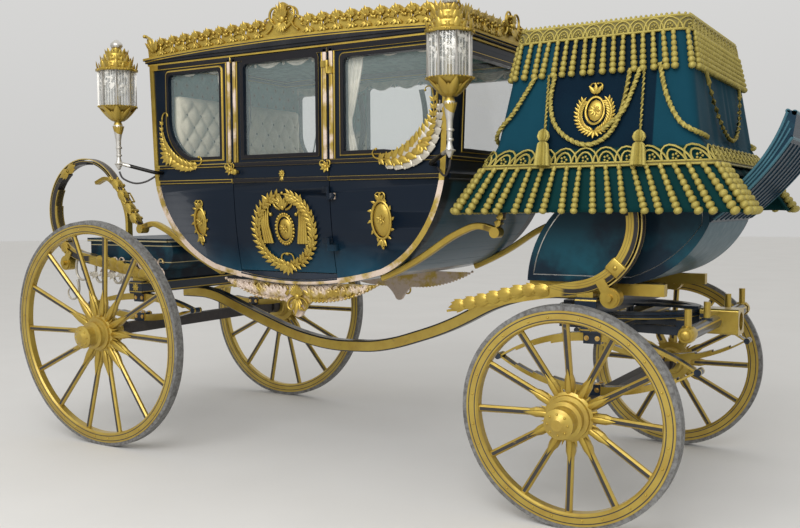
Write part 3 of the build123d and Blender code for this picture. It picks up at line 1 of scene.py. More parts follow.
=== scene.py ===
import json
from math import atan2, cos, hypot, pi, radians, sin

import bmesh
import bpy
from mathutils import Matrix, Vector


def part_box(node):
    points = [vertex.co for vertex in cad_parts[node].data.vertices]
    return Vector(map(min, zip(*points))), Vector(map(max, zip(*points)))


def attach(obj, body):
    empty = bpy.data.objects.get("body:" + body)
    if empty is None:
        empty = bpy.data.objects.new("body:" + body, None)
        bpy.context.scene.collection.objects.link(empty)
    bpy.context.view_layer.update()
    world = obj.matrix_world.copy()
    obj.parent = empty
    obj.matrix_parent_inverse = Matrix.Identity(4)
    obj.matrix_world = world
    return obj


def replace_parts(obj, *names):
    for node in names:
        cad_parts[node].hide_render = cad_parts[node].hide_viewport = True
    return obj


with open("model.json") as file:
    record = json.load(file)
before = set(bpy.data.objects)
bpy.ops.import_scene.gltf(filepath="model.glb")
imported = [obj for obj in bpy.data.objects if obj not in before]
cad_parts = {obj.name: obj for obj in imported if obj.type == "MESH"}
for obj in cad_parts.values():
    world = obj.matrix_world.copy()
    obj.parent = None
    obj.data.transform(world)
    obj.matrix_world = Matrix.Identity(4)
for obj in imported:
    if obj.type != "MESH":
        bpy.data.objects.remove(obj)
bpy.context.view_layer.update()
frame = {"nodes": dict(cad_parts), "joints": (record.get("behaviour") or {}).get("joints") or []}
nodes = frame["nodes"]
joints = {joint["name"]: joint for joint in frame["joints"]}
scene = bpy.context.scene

# The room: a pale level floor, one broad soft lamp and an even pale sky. The camera
# stands at a visitor's eye height off the carriage's right front wheel.
scene.view_settings.view_transform = "Standard"
EYE = Vector((2.922, -4.704, 1.427))
TURN, TILT, ROLL = radians(31.11), radians(-3.508), radians(-0.324)
LENS = 41.68


class Value:
    """A number that a finish's nodes give. A sum on it adds Math nodes."""

    def __init__(self, finish, socket):
        self.finish = finish
        self.socket = socket

    def __add__(self, other):
        return self.finish.math("ADD", self, other)

    def __sub__(self, other):
        return self.finish.math("SUBTRACT", self, other)

    def __rsub__(self, other):
        return self.finish.math("SUBTRACT", other, self)

    def __mul__(self, other):
        return self.finish.math("MULTIPLY", self, other)

    def __truediv__(self, other):
        return self.finish.math("DIVIDE", self, other)

    def __abs__(self):
        return self.finish.math("ABSOLUTE", self)

    __radd__ = __add__
    __rmul__ = __mul__


class Finish:
    """A surface finish: one material, whose nodes are all added by its node method."""

    def __init__(self, name, constants=None):
        self.material = bpy.data.materials.new(name)
        self.material.use_nodes = True
        self.tree = self.material.node_tree
        self.shader = self.tree.nodes["Principled BSDF"]
        self.wear(constants or {})

    def wear(self, sockets):
        """Give values or links to the shader's sockets."""
        for key, value in sockets.items():
            self.feed(self.shader.inputs[key], value)
        return self

    def mottle(self, tone, first, second, rough, share, relief=None, rough_tone=None):
        """Colour between two by a tone, with roughness and relief by the same or another one."""
        rough_tone = rough_tone or tone
        self.wear({"Base Color": self.blend(tone, first, second), "Roughness": rough + rough_tone * share})
        if relief:
            self.wear({"Normal": self.relief(rough_tone, *relief)})
        return self

    def feed(self, socket, value):
        if isinstance(value, Value):
            self.tree.links.new(value.socket, socket)
        elif socket.type == "RGBA":
            socket.default_value = (*value, 1)
        else:
            socket.default_value = value

    def node(self, kind, sockets=None, output=0, **settings):
        made = self.tree.nodes.new("ShaderNode" + kind)
        for setting, value in settings.items():
            setattr(made, setting, value)
        for key, value in (sockets or {}).items():
            self.feed(made.inputs[key], value)
        return Value(self, made.outputs[output])

    def math(self, operation, *values):
        return self.node("Math", dict(enumerate(values)), operation=operation)

    def parts(self, vector):
        """The three numbers of a vector."""
        split = self.node("SeparateXYZ", {0: vector})
        return [Value(self, socket) for socket in split.socket.node.outputs]

    def place(self, centre=(0, 0, 0), turn=(0, 0, 0), stretch=(1, 1, 1)):
        """Coordinates on the piece, seen from a centre and a turn, divided by the stretch."""
        own = self.node("TexCoord", output="Object")
        sockets = {"Vector": own, "Location": centre, "Rotation": turn, "Scale": stretch}
        return self.node("Mapping", sockets, vector_type="TEXTURE")

    def spot(self, *seen):
        """Place's three numbers: along the carriage, across it and up."""
        return self.parts(self.place(*seen))

    def hollow(self):
        """Low in hollows and high on edges."""
        return self.node("NewGeometry", output="Pointiness")

    def grain(self, scale, detail=3.0, rough=0.5, where=None):
        sockets = {"Vector": where or self.place(), "Scale": scale, "Detail": detail, "Roughness": rough}
        return self.node("TexNoise", sockets)

    def rise(self, value, low, high):
        """A smooth step from 0 at the low value to 1 at the high one."""
        sockets = {"Value": value, "From Min": low, "From Max": high}
        return self.node("MapRange", sockets, interpolation_type="SMOOTHSTEP")

    def band(self, value, low, high, soft):
        """1 between two values, with soft edges."""
        return self.rise(value, low - soft, low + soft) * (1 - self.rise(value, high - soft, high + soft))

    def blend(self, share, first, second):
        """The first colour where the share is 0 and the second where it is 1."""
        return self.node("Mix", {0: share, 6: first, 7: second}, 2, data_type="RGBA", blend_type="MIX")

    def relief(self, height, distance, strength=1.0):
        return self.node("Bump", {"Height": height, "Distance": distance, "Strength": strength})


def axes(x, y, z):
    """A matrix that turns the three axes to three directions."""
    return Matrix((x, y, z)).transposed().to_4x4()


def placed(data):
    """An object of its own name for a mesh, a lamp's or a camera's data."""
    made = bpy.data.objects.new(data.name, data)
    scene.collection.objects.link(made)
    return made


floor_shape = bmesh.new()
bmesh.ops.create_circle(floor_shape, cap_ends=True, segments=96, radius=40)
floor_mesh = bpy.data.meshes.new("floor")
floor_shape.to_mesh(floor_mesh)
floor_shape.free()
placed(floor_mesh)
floor_finish = Finish("pale_floor", {"Roughness": 0.75})
floor_tone = floor_finish.grain(1.4, 5.0)
floor_finish.wear({"Base Color": floor_finish.blend(floor_tone, (0.60, 0.59, 0.57), (0.66, 0.65, 0.63))})
floor_mesh.materials.append(floor_finish.material)

world = bpy.data.worlds.new("sky")
scene.world = world
world.use_nodes = True
sky = world.node_tree
sky_place = sky.nodes.new("ShaderNodeTexCoord")
sky_height = sky.nodes.new("ShaderNodeSeparateXYZ")
sky_ramp = sky.nodes.new("ShaderNodeValToRGB")
for step, position, tone in ((0, 0.0, 0.60), (1, 0.9, 0.92)):
    sky_ramp.color_ramp.elements[step].position = position
    sky_ramp.color_ramp.elements[step].color = (tone, tone * 0.995, tone * 0.98, 1)
sky.links.new(sky_place.outputs["Generated"], sky_height.inputs[0])
sky.links.new(sky_height.outputs["Z"], sky_ramp.inputs[0])
sky.links.new(sky_ramp.outputs[0], sky.nodes["Background"].inputs[0])

lamp_data = bpy.data.lights.new("window_light", "AREA")
lamp_data.size, lamp_data.energy = 5.0, 420
lamp = placed(lamp_data)
lamp.location = (1.5, -6.5, 5.5)
lamp.rotation_euler = (Vector((0.2, 0, 1.0)) - lamp.location).to_track_quat("-Z", "Y").to_euler()

ahead = Vector((-sin(TURN) * cos(TILT), cos(TURN) * cos(TILT), sin(TILT)))
level = Vector((cos(TURN), sin(TURN), 0))
right = level * cos(ROLL) + level.cross(ahead) * sin(ROLL)
camera_data = bpy.data.cameras.new("visitor")
camera_data.lens = LENS
scene.camera = placed(camera_data)
scene.camera.matrix_world = Matrix.Translation(EYE) @ axes(right, right.cross(ahead), -ahead)

# Wheels: ash felloes and oak spokes round a turned elm hub, gilded and lined in black,
# inside a shrunk iron tyre. Each spoke's root is covered by a pointed gilt leaf, and a
# brass cap closes the hub.
GOLD = (0.49, 0.355, 0.068)
PAINTED_GOLD_SHADE = (0.13, 0.085, 0.018)
BOLE = (0.30, 0.10, 0.04)
LINING_BLACK = (0.018, 0.016, 0.016)
TYRE_GREY = (0.23, 0.23, 0.225)


def gold_leaf(finish, carved=True):
    """The colour of gold leaf on carved wood: painted shade in the hollows, red bole where worn."""
    tone = finish.grain(9.0, 5.0, 0.6)
    colour = finish.blend(finish.rise(tone, 0.35, 0.7), GOLD, (0.42, 0.285, 0.050))
    # Carved pieces get painted shade: darker where the surface is hollow, by its pointiness.
    if carved:
        colour = finish.blend(1 - finish.rise(finish.hollow(), 0.43, 0.515), colour, PAINTED_GOLD_SHADE)
    worn = finish.rise(finish.grain(38.0, 4.0, 0.7), 0.66, 0.74)
    return finish.blend(worn * 0.6, colour, BOLE)


def gilt_finish(name, carved=True):
    finish = Finish(name, {"Metallic": 0.8, "Coat Weight": 0.15})
    return finish.wear({
        "Base Color": gold_leaf(finish, carved),
        "Roughness": 0.30 + finish.grain(55.0, 3.0) * 0.22,
        "Normal": finish.relief(finish.grain(120.0, 2.0), 0.0006, 0.5),
    })


gilt = gilt_finish("carved_gilt")
plain_gilt = gilt_finish("plain_gilt", carved=False)
brass = Finish("turned_brass", {"Metallic": 1.0, "Coat Weight": 0.1})
tarnish = brass.grain(24.0, 5.0, 0.6)
brass_tone = brass.rise(tarnish, 0.4, 0.75)
brass.mottle(brass_tone, (0.78, 0.53, 0.17), (0.42, 0.27, 0.09), 0.22, 0.2, rough_tone=tarnish)
iron = Finish("forged_iron", {"Metallic": 0.75})
iron_grain = iron.grain(30.0, 6.0, 0.65)
iron.mottle(iron_grain, (0.035, 0.035, 0.04), (0.10, 0.09, 0.085), 0.42, 0.25, (0.001, 0.6))


def mesh_of(shape, name="stamp"):
    """Keep a shape as a mesh, to be stamped many times."""
    mesh = bpy.data.meshes.new(name)
    shape.to_mesh(mesh)
    shape.free()
    return mesh


def stamp(shape, mesh, matrix=Matrix(), finish_index=None):
    """Add a copy of a mesh to a shape, placed by a matrix."""
    verts, faces = len(shape.verts), len(shape.faces)
    shape.from_mesh(mesh)
    shape.verts.ensure_lookup_table()
    shape.faces.ensure_lookup_table()
    bmesh.ops.transform(shape, matrix=matrix, verts=shape.verts[verts:])
    if matrix.determinant() < 0:
        bmesh.ops.reverse_faces(shape, faces=shape.faces[faces:])
    if finish_index is not None:
        for face in shape.faces[faces:]:
            face.material_index = finish_index


MIRROR = Matrix.Scale(-1, 4, (0, 1, 0))


def piece(name, shape, finishes=(gilt,), body="carriage", crease=60, mirror=False):
    """A finished piece from its shape: smooth apart from its creases, riding on a body. It
    can have its mirror image with it on the carriage's other side."""
    if mirror:
        half = bpy.data.meshes.new("half")
        shape.to_mesh(half)
        stamp(shape, half, MIRROR)
    mesh = mesh_of(shape, name)
    for finish in finishes:
        mesh.materials.append(finish.material)
    mesh.polygons.foreach_set("use_smooth", [True] * len(mesh.polygons))
    mesh.set_sharp_from_angle(angle=radians(crease))
    made = placed(mesh)
    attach(made, body)
    return made


def dress(names, finish):
    """Give a finish to nodes whose own shape is right."""
    for name in names.split():
        nodes[name].material_slots[0].material = finish.material


def at(spot, size=1.0):
    """A matrix that moves to a spot and scales, by one number or by three."""
    sizes = [size] * 3 if isinstance(size, float) else size
    return Matrix.Translation(spot) @ Matrix.Diagonal((*sizes, 1))


def spun(angle, axis="Z"):
    return Matrix.Rotation(angle, 4, axis)


def angles(count, first=0.0):
    """Even angles round a full turn."""
    return [first + 2 * pi * turn / count for turn in range(count)]


def bead(fine):
    shape = bmesh.new()
    bmesh.ops.create_icosphere(shape, subdivisions=fine, radius=1.0)
    return mesh_of(shape)


def leaf(width, thick, point=0.75, segments=10, rings=6):
    """A leaf of length 1 along z from the origin, domed towards y and pointed at its tip."""
    shape = bmesh.new()
    bmesh.ops.create_uvsphere(shape, u_segments=segments, v_segments=rings, radius=0.5)
    for vert in shape.verts:
        along = vert.co.z + 0.5
        fullness = 1 - point * along ** 2
        vert.co = Vector((vert.co.x * 2 * width * fullness, vert.co.y * 2 * thick * fullness, along))
    return mesh_of(shape)


def toward(origin, tip, face):
    """A matrix that lays z from one point to another, with y towards the face's side."""
    origin, tip = Vector(origin), Vector(tip)
    z = (tip - origin).normalized()
    x = Vector(face).cross(z).normalized()
    return Matrix.Translation(origin) @ axes(x, z.cross(x), z) @ Matrix.Scale((tip - origin).length, 4)


BEAD, BEAD_SMALL = bead(2), bead(1)
ROOT_LEAF = leaf(0.13, 0.075, point=0.95)
AHEAD = Vector((1, 0, 0))
wheel_table = [
    # end of the carriage, radius of the tyre, spokes
    ("rear", 0.680, 14),
    ("front", 0.502, 12),
]
TYRE_DEPTH, RIM_DEPTH, SPOKE_DISH, HUB_RADIUS = 0.020, 0.058, 0.050, 0.112
wheels = [(f"{side}_{end}", *size) for end, *size in wheel_table for side in ("right", "left")]
for name, radius, spokes in wheels:
    spin = joints[f"{name}_spin"]
    out = Vector(spin["axis"]) * (1 if spin["pos_m"][1] > 0 else -1)
    hub = Matrix.Translation(spin["pos_m"]) @ axes(AHEAD, out.cross(AHEAD), out)
    rim_outer = radius - TYRE_DEPTH
    rim_inner = rim_outer - RIM_DEPTH

    paint = Finish(f"{name}_lined_gilt", {"Coat Weight": 0.35, "Coat Roughness": 0.2})
    across, up, outward = paint.spot(spin["pos_m"], hub.to_euler())
    distance = paint.math("SQRT", across * across + up * up)
    turn = paint.math("ARCTAN2", up, across) * (spokes / (2 * pi))
    from_spoke = abs(paint.math("FRACT", turn + 0.5) - 0.5) * distance * (2 * pi / spokes)
    on_spoke = paint.band(distance, HUB_RADIUS + 0.02, rim_inner - 0.004, 0.002)
    spoke_line = (1 - paint.rise(from_spoke, 0.0068, 0.0082)) * on_spoke
    rim_line = paint.band(distance, rim_outer - 0.016, rim_outer - 0.011, 0.001)
    rim_line = rim_line + paint.band(distance, rim_inner + 0.013, rim_inner + 0.018, 0.001)
    scuffed = paint.rise(paint.grain(26.0, 5.0, 0.7), 0.62, 0.72)
    black = paint.math("MINIMUM", spoke_line + rim_line, 1.0) * (1 - scuffed * 0.6)
    paint.wear({
        "Base Color": paint.blend(black, gold_leaf(paint, carved=False), LINING_BLACK),
        "Metallic": 0.7 - black * 0.7,
        "Roughness": 0.34 + paint.grain(60.0) * 0.2,
        "Normal": paint.relief(paint.grain(90.0, 3.0), 0.0008, 0.5),
    })
    dress(f"{name}_wheel", paint)

    tyre_iron = Finish(f"{name}_tyre_iron", {"Metallic": 0.35})
    scratch = tyre_iron.grain(45.0, 6.0, 0.7)
    scratch_tone = tyre_iron.rise(scratch, 0.35, 0.7)
    tyre_iron.mottle(scratch_tone, TYRE_GREY, (0.10, 0.095, 0.09), 0.5, 0.25, (0.0015, 0.5), scratch)
    dress(f"{name}_tyre", tyre_iron)

    collar = bmesh.new()
    step = 2 * pi / spokes
    spoke_length = rim_inner - HUB_RADIUS
    root = (HUB_RADIUS - 0.030, 0, -SPOKE_DISH + 0.026)
    tip = (HUB_RADIUS + 0.34 * spoke_length, 0, -SPOKE_DISH * 0.66 + 0.016)
    short_tip = (HUB_RADIUS + 0.10 * spoke_length, 0, -SPOKE_DISH + 0.026)
    nail = at((rim_outer - RIM_DEPTH / 2, 0, 0.027), 0.0055)
    for angle in angles(spokes):
        stamp(collar, ROOT_LEAF, hub @ spun(angle) @ toward(root, tip, (0, 0, 1)))
        stamp(collar, ROOT_LEAF, hub @ spun(angle + step / 2) @ toward(root, short_tip, (0, 0, 1)))
        for share in (0.30, 0.70):
            stamp(collar, BEAD, hub @ spun(angle + step * share) @ nail)
    for angle in angles(8):
        stamp(collar, BEAD, hub @ spun(angle) @ at((0.047, 0, 0.117), 0.006))
    piece(f"{name}_hub_leaves", collar, body=name)

# Running gear: forged axles in blacked iron, elliptic springs of stacked steel leaves,
# and ash beds and a bent ash perch painted midnight blue, lined along their edges in gilt.
MIDNIGHT = (0.004, 0.009, 0.018)
REAR_X = (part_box("rear_axle")[0].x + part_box("rear_axle")[1].x) / 2
FRONT_X = joints["steering"]["pos_m"][0]
SPRING_Y = 0.55


def lined_finish(name, lines):
    """Dark coach paint with gilt lines; lines is a function that gives their mask."""
    finish = Finish(name, {"Coat Weight": 0.35, "Coat Roughness": 0.12, "Specular IOR Level": 0.3})
    rubbed = finish.rise(finish.grain(34.0, 5.0, 0.7), 0.6, 0.72)
    gilded = finish.math("MINIMUM", lines(finish), 1.0) * (1 - rubbed * 0.35)
    paint = finish.blend(finish.grain(4.0, 4.0), MIDNIGHT, (0.010, 0.022, 0.042))
    return finish.wear({
        "Base Color": finish.blend(gilded, paint, gold_leaf(finish, carved=False)),
        "Metallic": gilded * 0.75,
        "Roughness": 0.32 + rubbed * 0.2,
        "Normal": finish.relief(finish.grain(80.0, 3.0), 0.0006, 0.5),
    })


def spring_lines(finish):
    return finish.band(abs(abs(finish.spot()[1]) - SPRING_Y), 0.0185, 0.0305, 0.0012)


def perch_lines(finish):
    off_middle = abs(finish.spot()[1])
    return finish.band(off_middle, 0.024, 0.030, 0.001) + finish.band(off_middle, 0.0372, 0.05, 0.0004)


def bed_lines(node):
    low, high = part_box(node)

    def lines(finish):
        up = finish.spot()[2]
        return finish.band(finish.math("MINIMUM", up - low.z, high.z - up), 0.010, 0.016, 0.001)

    return lines


BAR_BASE_Z = 0.8616


def bar_lines(finish):
    """Gilt on the splinter bar's ends, its rollers and the pole socket, black between them."""
    along, across, up = finish.spot()
    off_middle = abs(across)
    socket_part = 1 - finish.rise(off_middle, 0.066, 0.068)
    socket_part = socket_part * finish.rise(along, FRONT_X + 0.385, FRONT_X + 0.39)
    gilded = finish.rise(off_middle, 0.540, 0.543) + finish.rise(up, BAR_BASE_Z + 0.036, BAR_BASE_Z + 0.037)
    return gilded + socket_part + finish.band(up, BAR_BASE_Z + 0.010, BAR_BASE_Z + 0.017, 0.001)


dress("rear_axle front_axle", iron)
dress("rear_springs front_springs", lined_finish("lined_springs", spring_lines))
dress("perch", lined_finish("lined_perch", perch_lines))
for node in ("rear_bed", "front_bed", "turning_bed"):
    dress(node, lined_finish(f"lined_{node}", bed_lines(node)))
dress("splinter_bar", lined_finish("lined_splinter_bar", bar_lines))
dress("spring_chocks winding_jacks", plain_gilt)
dress("body_loops stand_irons boot_rails", gilt)


def screw(shape, place, radius, height):
    """A six-sided bolt head on a washer, standing along z of its place."""
    for sides, size, tall in ((16, 1.5, 0.3), (6, 1.0, 1.0)):
        bmesh.ops.create_cone(
            shape, cap_ends=True, segments=sides, radius1=radius * size, radius2=radius * size,
            depth=height * tall, matrix=place @ Matrix.Translation((0, 0, height * tall / 2)),
        )


bolt_table = [
    # end, body, middle of the springs
    ("rear", "carriage", REAR_X),
    ("front", "forecarriage", FRONT_X),
]
for end, body, middle_x in bolt_table:
    low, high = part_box(f"{end}_springs")
    shape = bmesh.new()
    for y in (-SPRING_Y, SPRING_Y):
        for x in (middle_x - 0.026, middle_x + 0.026):
            for face in (-1, 1):
                screw(shape, Matrix.Translation((x, y + face * 0.0248, low.z + 0.052)), 0.009, 0.006)
                for z in (low.z + 0.026, high.z - 0.026):
                    place = Matrix.Translation((x, y + face * 0.0340, z)) @ spun(radians(-90 * face), "X")
                    screw(shape, place, 0.008, 0.005)
    piece(f"{end}_spring_bolts", shape, [brass], body, 35)

# C-springs: each is five steel leaves bound by a clip, gilded on the edges and lined in
# black between the leaves. A gilt acanthus husk covers the clip, and the leg is bolted
# to a chock on its bed.
C_RADIUS, C_LEAF, C_LEAVES = 0.330, 0.012, 5
spring_table = [
    # end, centre's x and z, 1 where its leg points forwards, gilded share of its depth
    ("rear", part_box("rear_c_springs")[0].x + C_RADIUS, 1.4102, 1, 0.34),
    ("front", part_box("front_c_springs")[1].x - C_RADIUS, 1.3446, -1, 0.62),
]


def c_spring_finish(name, centre, forward, gilded):
    """Paint of a C-spring: gilt over a share of its depth from the inside, black outside it."""
    finish = Finish(name, {"Coat Weight": 0.2, "Coat Roughness": 0.2, "Specular IOR Level": 0.3})
    along, across, up = finish.spot(centre)
    leaf_count = (C_RADIUS - finish.math("SQRT", along * along + up * up)) / C_LEAF
    seam = abs(finish.math("FRACT", leaf_count + 0.5) - 0.5)
    between = (1 - finish.rise(seam, 0.06, 0.12)) * finish.band(leaf_count, 0.5, C_LEAVES - 0.5, 0.05) * 0.6
    gilt_from = C_LEAVES * (1 - gilded)
    outside = 1 - finish.rise(leaf_count, gilt_from, gilt_from + 0.1)
    edge_line = finish.band(leaf_count, 0.12, 0.36, 0.05)
    leg = finish.rise(along * forward, 0.02, 0.05) * (1 - finish.rise(up, -0.30, -0.28))
    face_line = (1 - finish.rise(abs(abs(across) - SPRING_Y), 0.017, 0.019)) * 0.9
    black = finish.math("MAXIMUM", between, face_line)
    black = finish.math("MAXIMUM", black, outside * (1 - leg) * (1 - edge_line))
    rubbed = finish.rise(finish.grain(30.0, 5.0, 0.7), 0.6, 0.72)
    black = black * (1 - rubbed * 0.3)
    return finish.wear({
        "Base Color": finish.blend(black, gold_leaf(finish, carved=False), LINING_BLACK),
        "Metallic": 0.75 - black * 0.75,
        "Roughness": 0.32 + rubbed * 0.2,
    })


HUSK = leaf(0.26, 0.10, point=0.9)


def husk(shape, base, tip, face, spread=70.0, wide=1.1, boss=True):
    """A carved acanthus husk: five lobes that fan out from one root towards a tip."""
    base, tip, face = Vector(base), Vector(tip), Vector(face).normalized()
    reach = tip - base
    for share in (-0.5, -0.25, 0.0, 0.25, 0.5):
        turned = Matrix.Rotation(radians(share * spread), 3, face) @ reach
        root = base + face * reach.length * 0.03 * (1 - abs(share) * 2)
        matrix = toward(root, root + turned * (1 - abs(share) * 0.62), face)
        stamp(shape, HUSK, matrix @ Matrix.Diagonal((wide, 1, 1, 1)))
    if boss:
        stamp(shape, BEAD, at(base + face * reach.length * 0.04, reach.length * 0.12))


def block(place, offset, segments):
    """A block with bevelled edges, whose place also gives its three sizes."""
    shape = bmesh.new()
    bmesh.ops.create_cube(shape, size=1.0, matrix=place)
    bmesh.ops.bevel(
        shape, geom=shape.edges[:], affect="EDGES", offset=offset, segments=segments, profile=0.5,
        material=-1,
    )
    return mesh_of(shape)


for end, centre_x, centre_z, forward, gilded in spring_table:
    finish = c_spring_finish(f"{end}_spring_gilt", (centre_x, 0, centre_z), forward, gilded)
    dress(f"{end}_c_springs", finish)
    shape = bmesh.new()
    centre = Vector((centre_x, -SPRING_Y, centre_z))
    for angle, reach in ((radians(222), 0.10), (radians(118), 0.09)):
        middle = centre + Vector((forward * cos(angle), 0, sin(angle))) * (C_RADIUS - 0.03)
        tangent = Vector((-forward * sin(angle), 0, cos(angle))) * forward
        if end == "front" and reach == 0.10:
            across = Vector((0, 1, 0))
            turn = axes(across, across.cross(tangent), tangent)
            clip = block(Matrix.Diagonal((0.072, 0.078, 0.070, 1)), 0.008, 3)
            stamp(shape, clip, Matrix.Translation(middle) @ turn)
            stamp(shape, BEAD, at(middle - across * 0.036, (0.011, 0.006, 0.011)))
            continue
        root = middle - Vector((0, 0.034, 0))
        for turn in (-1, 1):
            husk(shape, root, root + tangent * turn * reach, (0, -1, 0))
    for step in range(8):
        along = 0.100 + 0.064 * step
        depth = -0.318 - max(along - 0.22, 0) * 0.262
        root = centre + Vector((forward * along, -0.030, depth))
        tip = root + Vector((forward * 0.094, 0, -0.022 if step > 1 else 0))
        husk(shape, root, tip, (0, -1, 0), 64, 1.2, boss=False)
    eye = centre + Vector((forward * cos(radians(40)), 0, sin(radians(40)))) * (C_RADIUS - 0.006)
    for y in (-0.028, 0.028):
        stamp(shape, BEAD, at(eye + Vector((0, y, 0)), (0.017, 0.008, 0.017)))
    piece(f"{end}_spring_husks", shape, mirror=True)

# Coachwork: thin mahogany panels on an ash frame, painted midnight blue, rubbed down and
# varnished many times. The mouldings are carved on the panels and gilded, and the inside
# of each panel is lined with cream silk.
END_PANELS = ("rear_panel", "front_panel")
PANEL_NODES = {node: "carriage" for node in END_PANELS}
for side in ("right", "left"):
    PANEL_NODES |= {f"{side}_rear_quarter": "carriage", f"{side}_front_quarter": "carriage"}
    PANEL_NODES |= {f"{side}_door": f"{side}_door_leaf"}
BODY_X = (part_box("rear_panel")[0].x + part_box("front_panel")[1].x) / 2
BASE_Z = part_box("body_floor")[0].z
BELT_Z = BASE_Z + 0.625
ROOF_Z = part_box("roof")[0].z
MOULDING_PROUD = 0.008
HALF_WIDTH = -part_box("right_rear_quarter")[0].y - MOULDING_PROUD
FRAME_HALF = 0.955
CREAM = (0.66, 0.60, 0.47)
TEAL = (0.10, 0.24, 0.25)
COACH, GILT, QUILT, FRAME, PEARLED = range(5)


def half_width(z):
    """Half the body's width at a height: upright above the belt, turned under below it."""
    return HALF_WIDTH - 0.080 * (max(BELT_Z - z, 0) / 0.625) ** 2


def half_length(z):
    return 0.995 + 0.027 * (z - BELT_Z) / 0.66


coach_paint = Finish("midnight_varnish", {
    "Coat Weight": 0.10, "Coat Roughness": 0.05, "Specular IOR Level": 0.15,
})
reflection_cloud = coach_paint.grain(2.2, 5.0, 0.6)
paint_scratch = coach_paint.grain(1.0, 6.0, 0.7, coach_paint.place(stretch=(0.9, 0.9, 0.012)))
paint_across, paint_up = coach_paint.spot()[1:]
# Teal low down on the body and on its ends below the belt: painted reflection, clouded by noise.
low_reflection = 1 - coach_paint.rise(paint_up + reflection_cloud * 0.3, BASE_Z + 0.12, BASE_Z + 0.42)
end_reflection = 1 - coach_paint.rise(abs(paint_across), 0.545, 0.585)
end_reflection = end_reflection * (1 - coach_paint.rise(paint_up, BELT_Z - 0.08, BELT_Z - 0.05))
painted_reflection = coach_paint.math("MAXIMUM", low_reflection * 0.8, end_reflection * (0.55 + reflection_cloud * 0.6))
coach_paint.wear({
    "Base Color": coach_paint.blend(painted_reflection, MIDNIGHT, (0.010, 0.070, 0.115)),
    "Roughness": 0.30 + coach_paint.rise(paint_scratch, 0.5, 0.75) * 0.25,
    "Normal": coach_paint.relief(coach_paint.grain(5.0, 2.0), 0.002, 0.35),
})
frame_black = Finish("ebony_frame", {"Coat Weight": 0.12, "Coat Roughness": 0.1, "Specular IOR Level": 0.2})
frame_black.mottle(
    frame_black.grain(14.0, 5.0), (0.004, 0.004, 0.006), (0.010, 0.009, 0.011), 0.34, 0.2,
    rough_tone=frame_black.grain(30.0),
)
pearl = Finish("pearl_and_gold", {"Coat Weight": 0.2})
pearl_patch = pearl.rise(pearl.grain(7.0, 4.0, 0.6), 0.44, 0.60)
pearl_dirt = pearl.rise(pearl.grain(60.0, 5.0, 0.7), 0.55, 0.75)
pearl_clean = pearl.blend(pearl_patch, (0.62, 0.50, 0.41), gold_leaf(pearl))
pearl.wear({
    "Base Color": pearl.blend(pearl_dirt * 0.6, pearl_clean, (0.16, 0.10, 0.06)),
    "Metallic": pearl_patch * 0.7,
    "Roughness": 0.36 + pearl_dirt * 0.25,
})
silver_white = Finish("silvered_carving", {"Metallic": 0.5, "Coat Weight": 0.2})
# Dark in the hollows, by pointiness: painted shade.
silver_white.mottle(
    silver_white.rise(silver_white.hollow(), 0.42, 0.50), (0.12, 0.10, 0.07), (0.50, 0.46, 0.38), 0.34, 0.2,
    rough_tone=silver_white.grain(40.0, 3.0),
)


def silk_finish(name, light, dark, pattern=0.3):
    """Woven silk: fine threads both ways and a soft damask of lighter patches."""
    finish = Finish(name, {"Sheen Weight": 0.3, "Sheen Roughness": 0.4})
    along, across, up = finish.spot()
    thread = finish.math("SINE", (along + across) * 5200.0) * finish.math("SINE", up * 5200.0)
    damask = finish.rise(finish.grain(26.0, 2.0, 0.4), 0.46, 0.56)
    colour = finish.blend(damask * pattern, light, dark)
    soil = finish.rise(finish.grain(5.0, 5.0, 0.6), 0.45, 0.8)
    return finish.wear({
        "Base Color": finish.blend(soil * 0.35, colour, (0.30, 0.25, 0.17)),
        "Roughness": 0.62 - damask * 0.16,
        "Normal": finish.relief(thread * 0.5 + 0.5, 0.0003, 0.6),
    })


quilted = Finish("quilted_silk", {"Sheen Weight": 0.3, "Sheen Roughness": 0.4})
quilt_along, quilt_across, quilt_up = quilted.spot()
quilt_level = quilt_along + quilt_across
diamonds = quilted.math("SINE", (quilt_level + quilt_up * 0.8) * 34.0)
diamonds = abs(diamonds * quilted.math("SINE", (quilt_level - quilt_up * 0.8) * 34.0))
# Teal towards the top of the lining: painted shade.
painted_teal_shade = quilted.rise(quilt_up + quilted.grain(5.0, 4.0) * 0.16, BELT_Z + 0.36, BELT_Z + 0.42)
quilt_colour = quilted.blend(painted_teal_shade, CREAM, (0.15, 0.33, 0.34))
# Darker towards each diamond's middle, where the padding dips: painted shade.
quilt_colour = quilted.blend(quilted.rise(diamonds, 0.55, 0.95) * 0.35, quilt_colour, (0.24, 0.23, 0.17))
quilted.wear({
    "Base Color": quilted.blend(quilted.rise(diamonds, 0.955, 0.98) * 0.85, quilt_colour, (0.06, 0.06, 0.05)),
    "Roughness": 0.58 + quilted.grain(40.0) * 0.1,
    "Normal": quilted.relief(1 - diamonds, 0.006, 0.8),
})
teal_silk = silk_finish("teal_silk", TEAL, (0.05, 0.13, 0.15))


def side_finish(centre, normal):
    """Which finish a face of a side panel has."""
    proud = abs(centre.y) - half_width(centre.z)
    above = centre.z > BELT_Z - 0.06
    if proud > 0.0095:
        return GILT if above else COACH
    if proud > 0.002:
        if abs(centre.x - BODY_X) < FRAME_HALF and above:
            return FRAME
        return PEARLED if centre.z < BELT_Z - 0.06 else GILT
    if proud < -0.030 and abs(normal.y) > 0.7:
        return QUILT
    return COACH


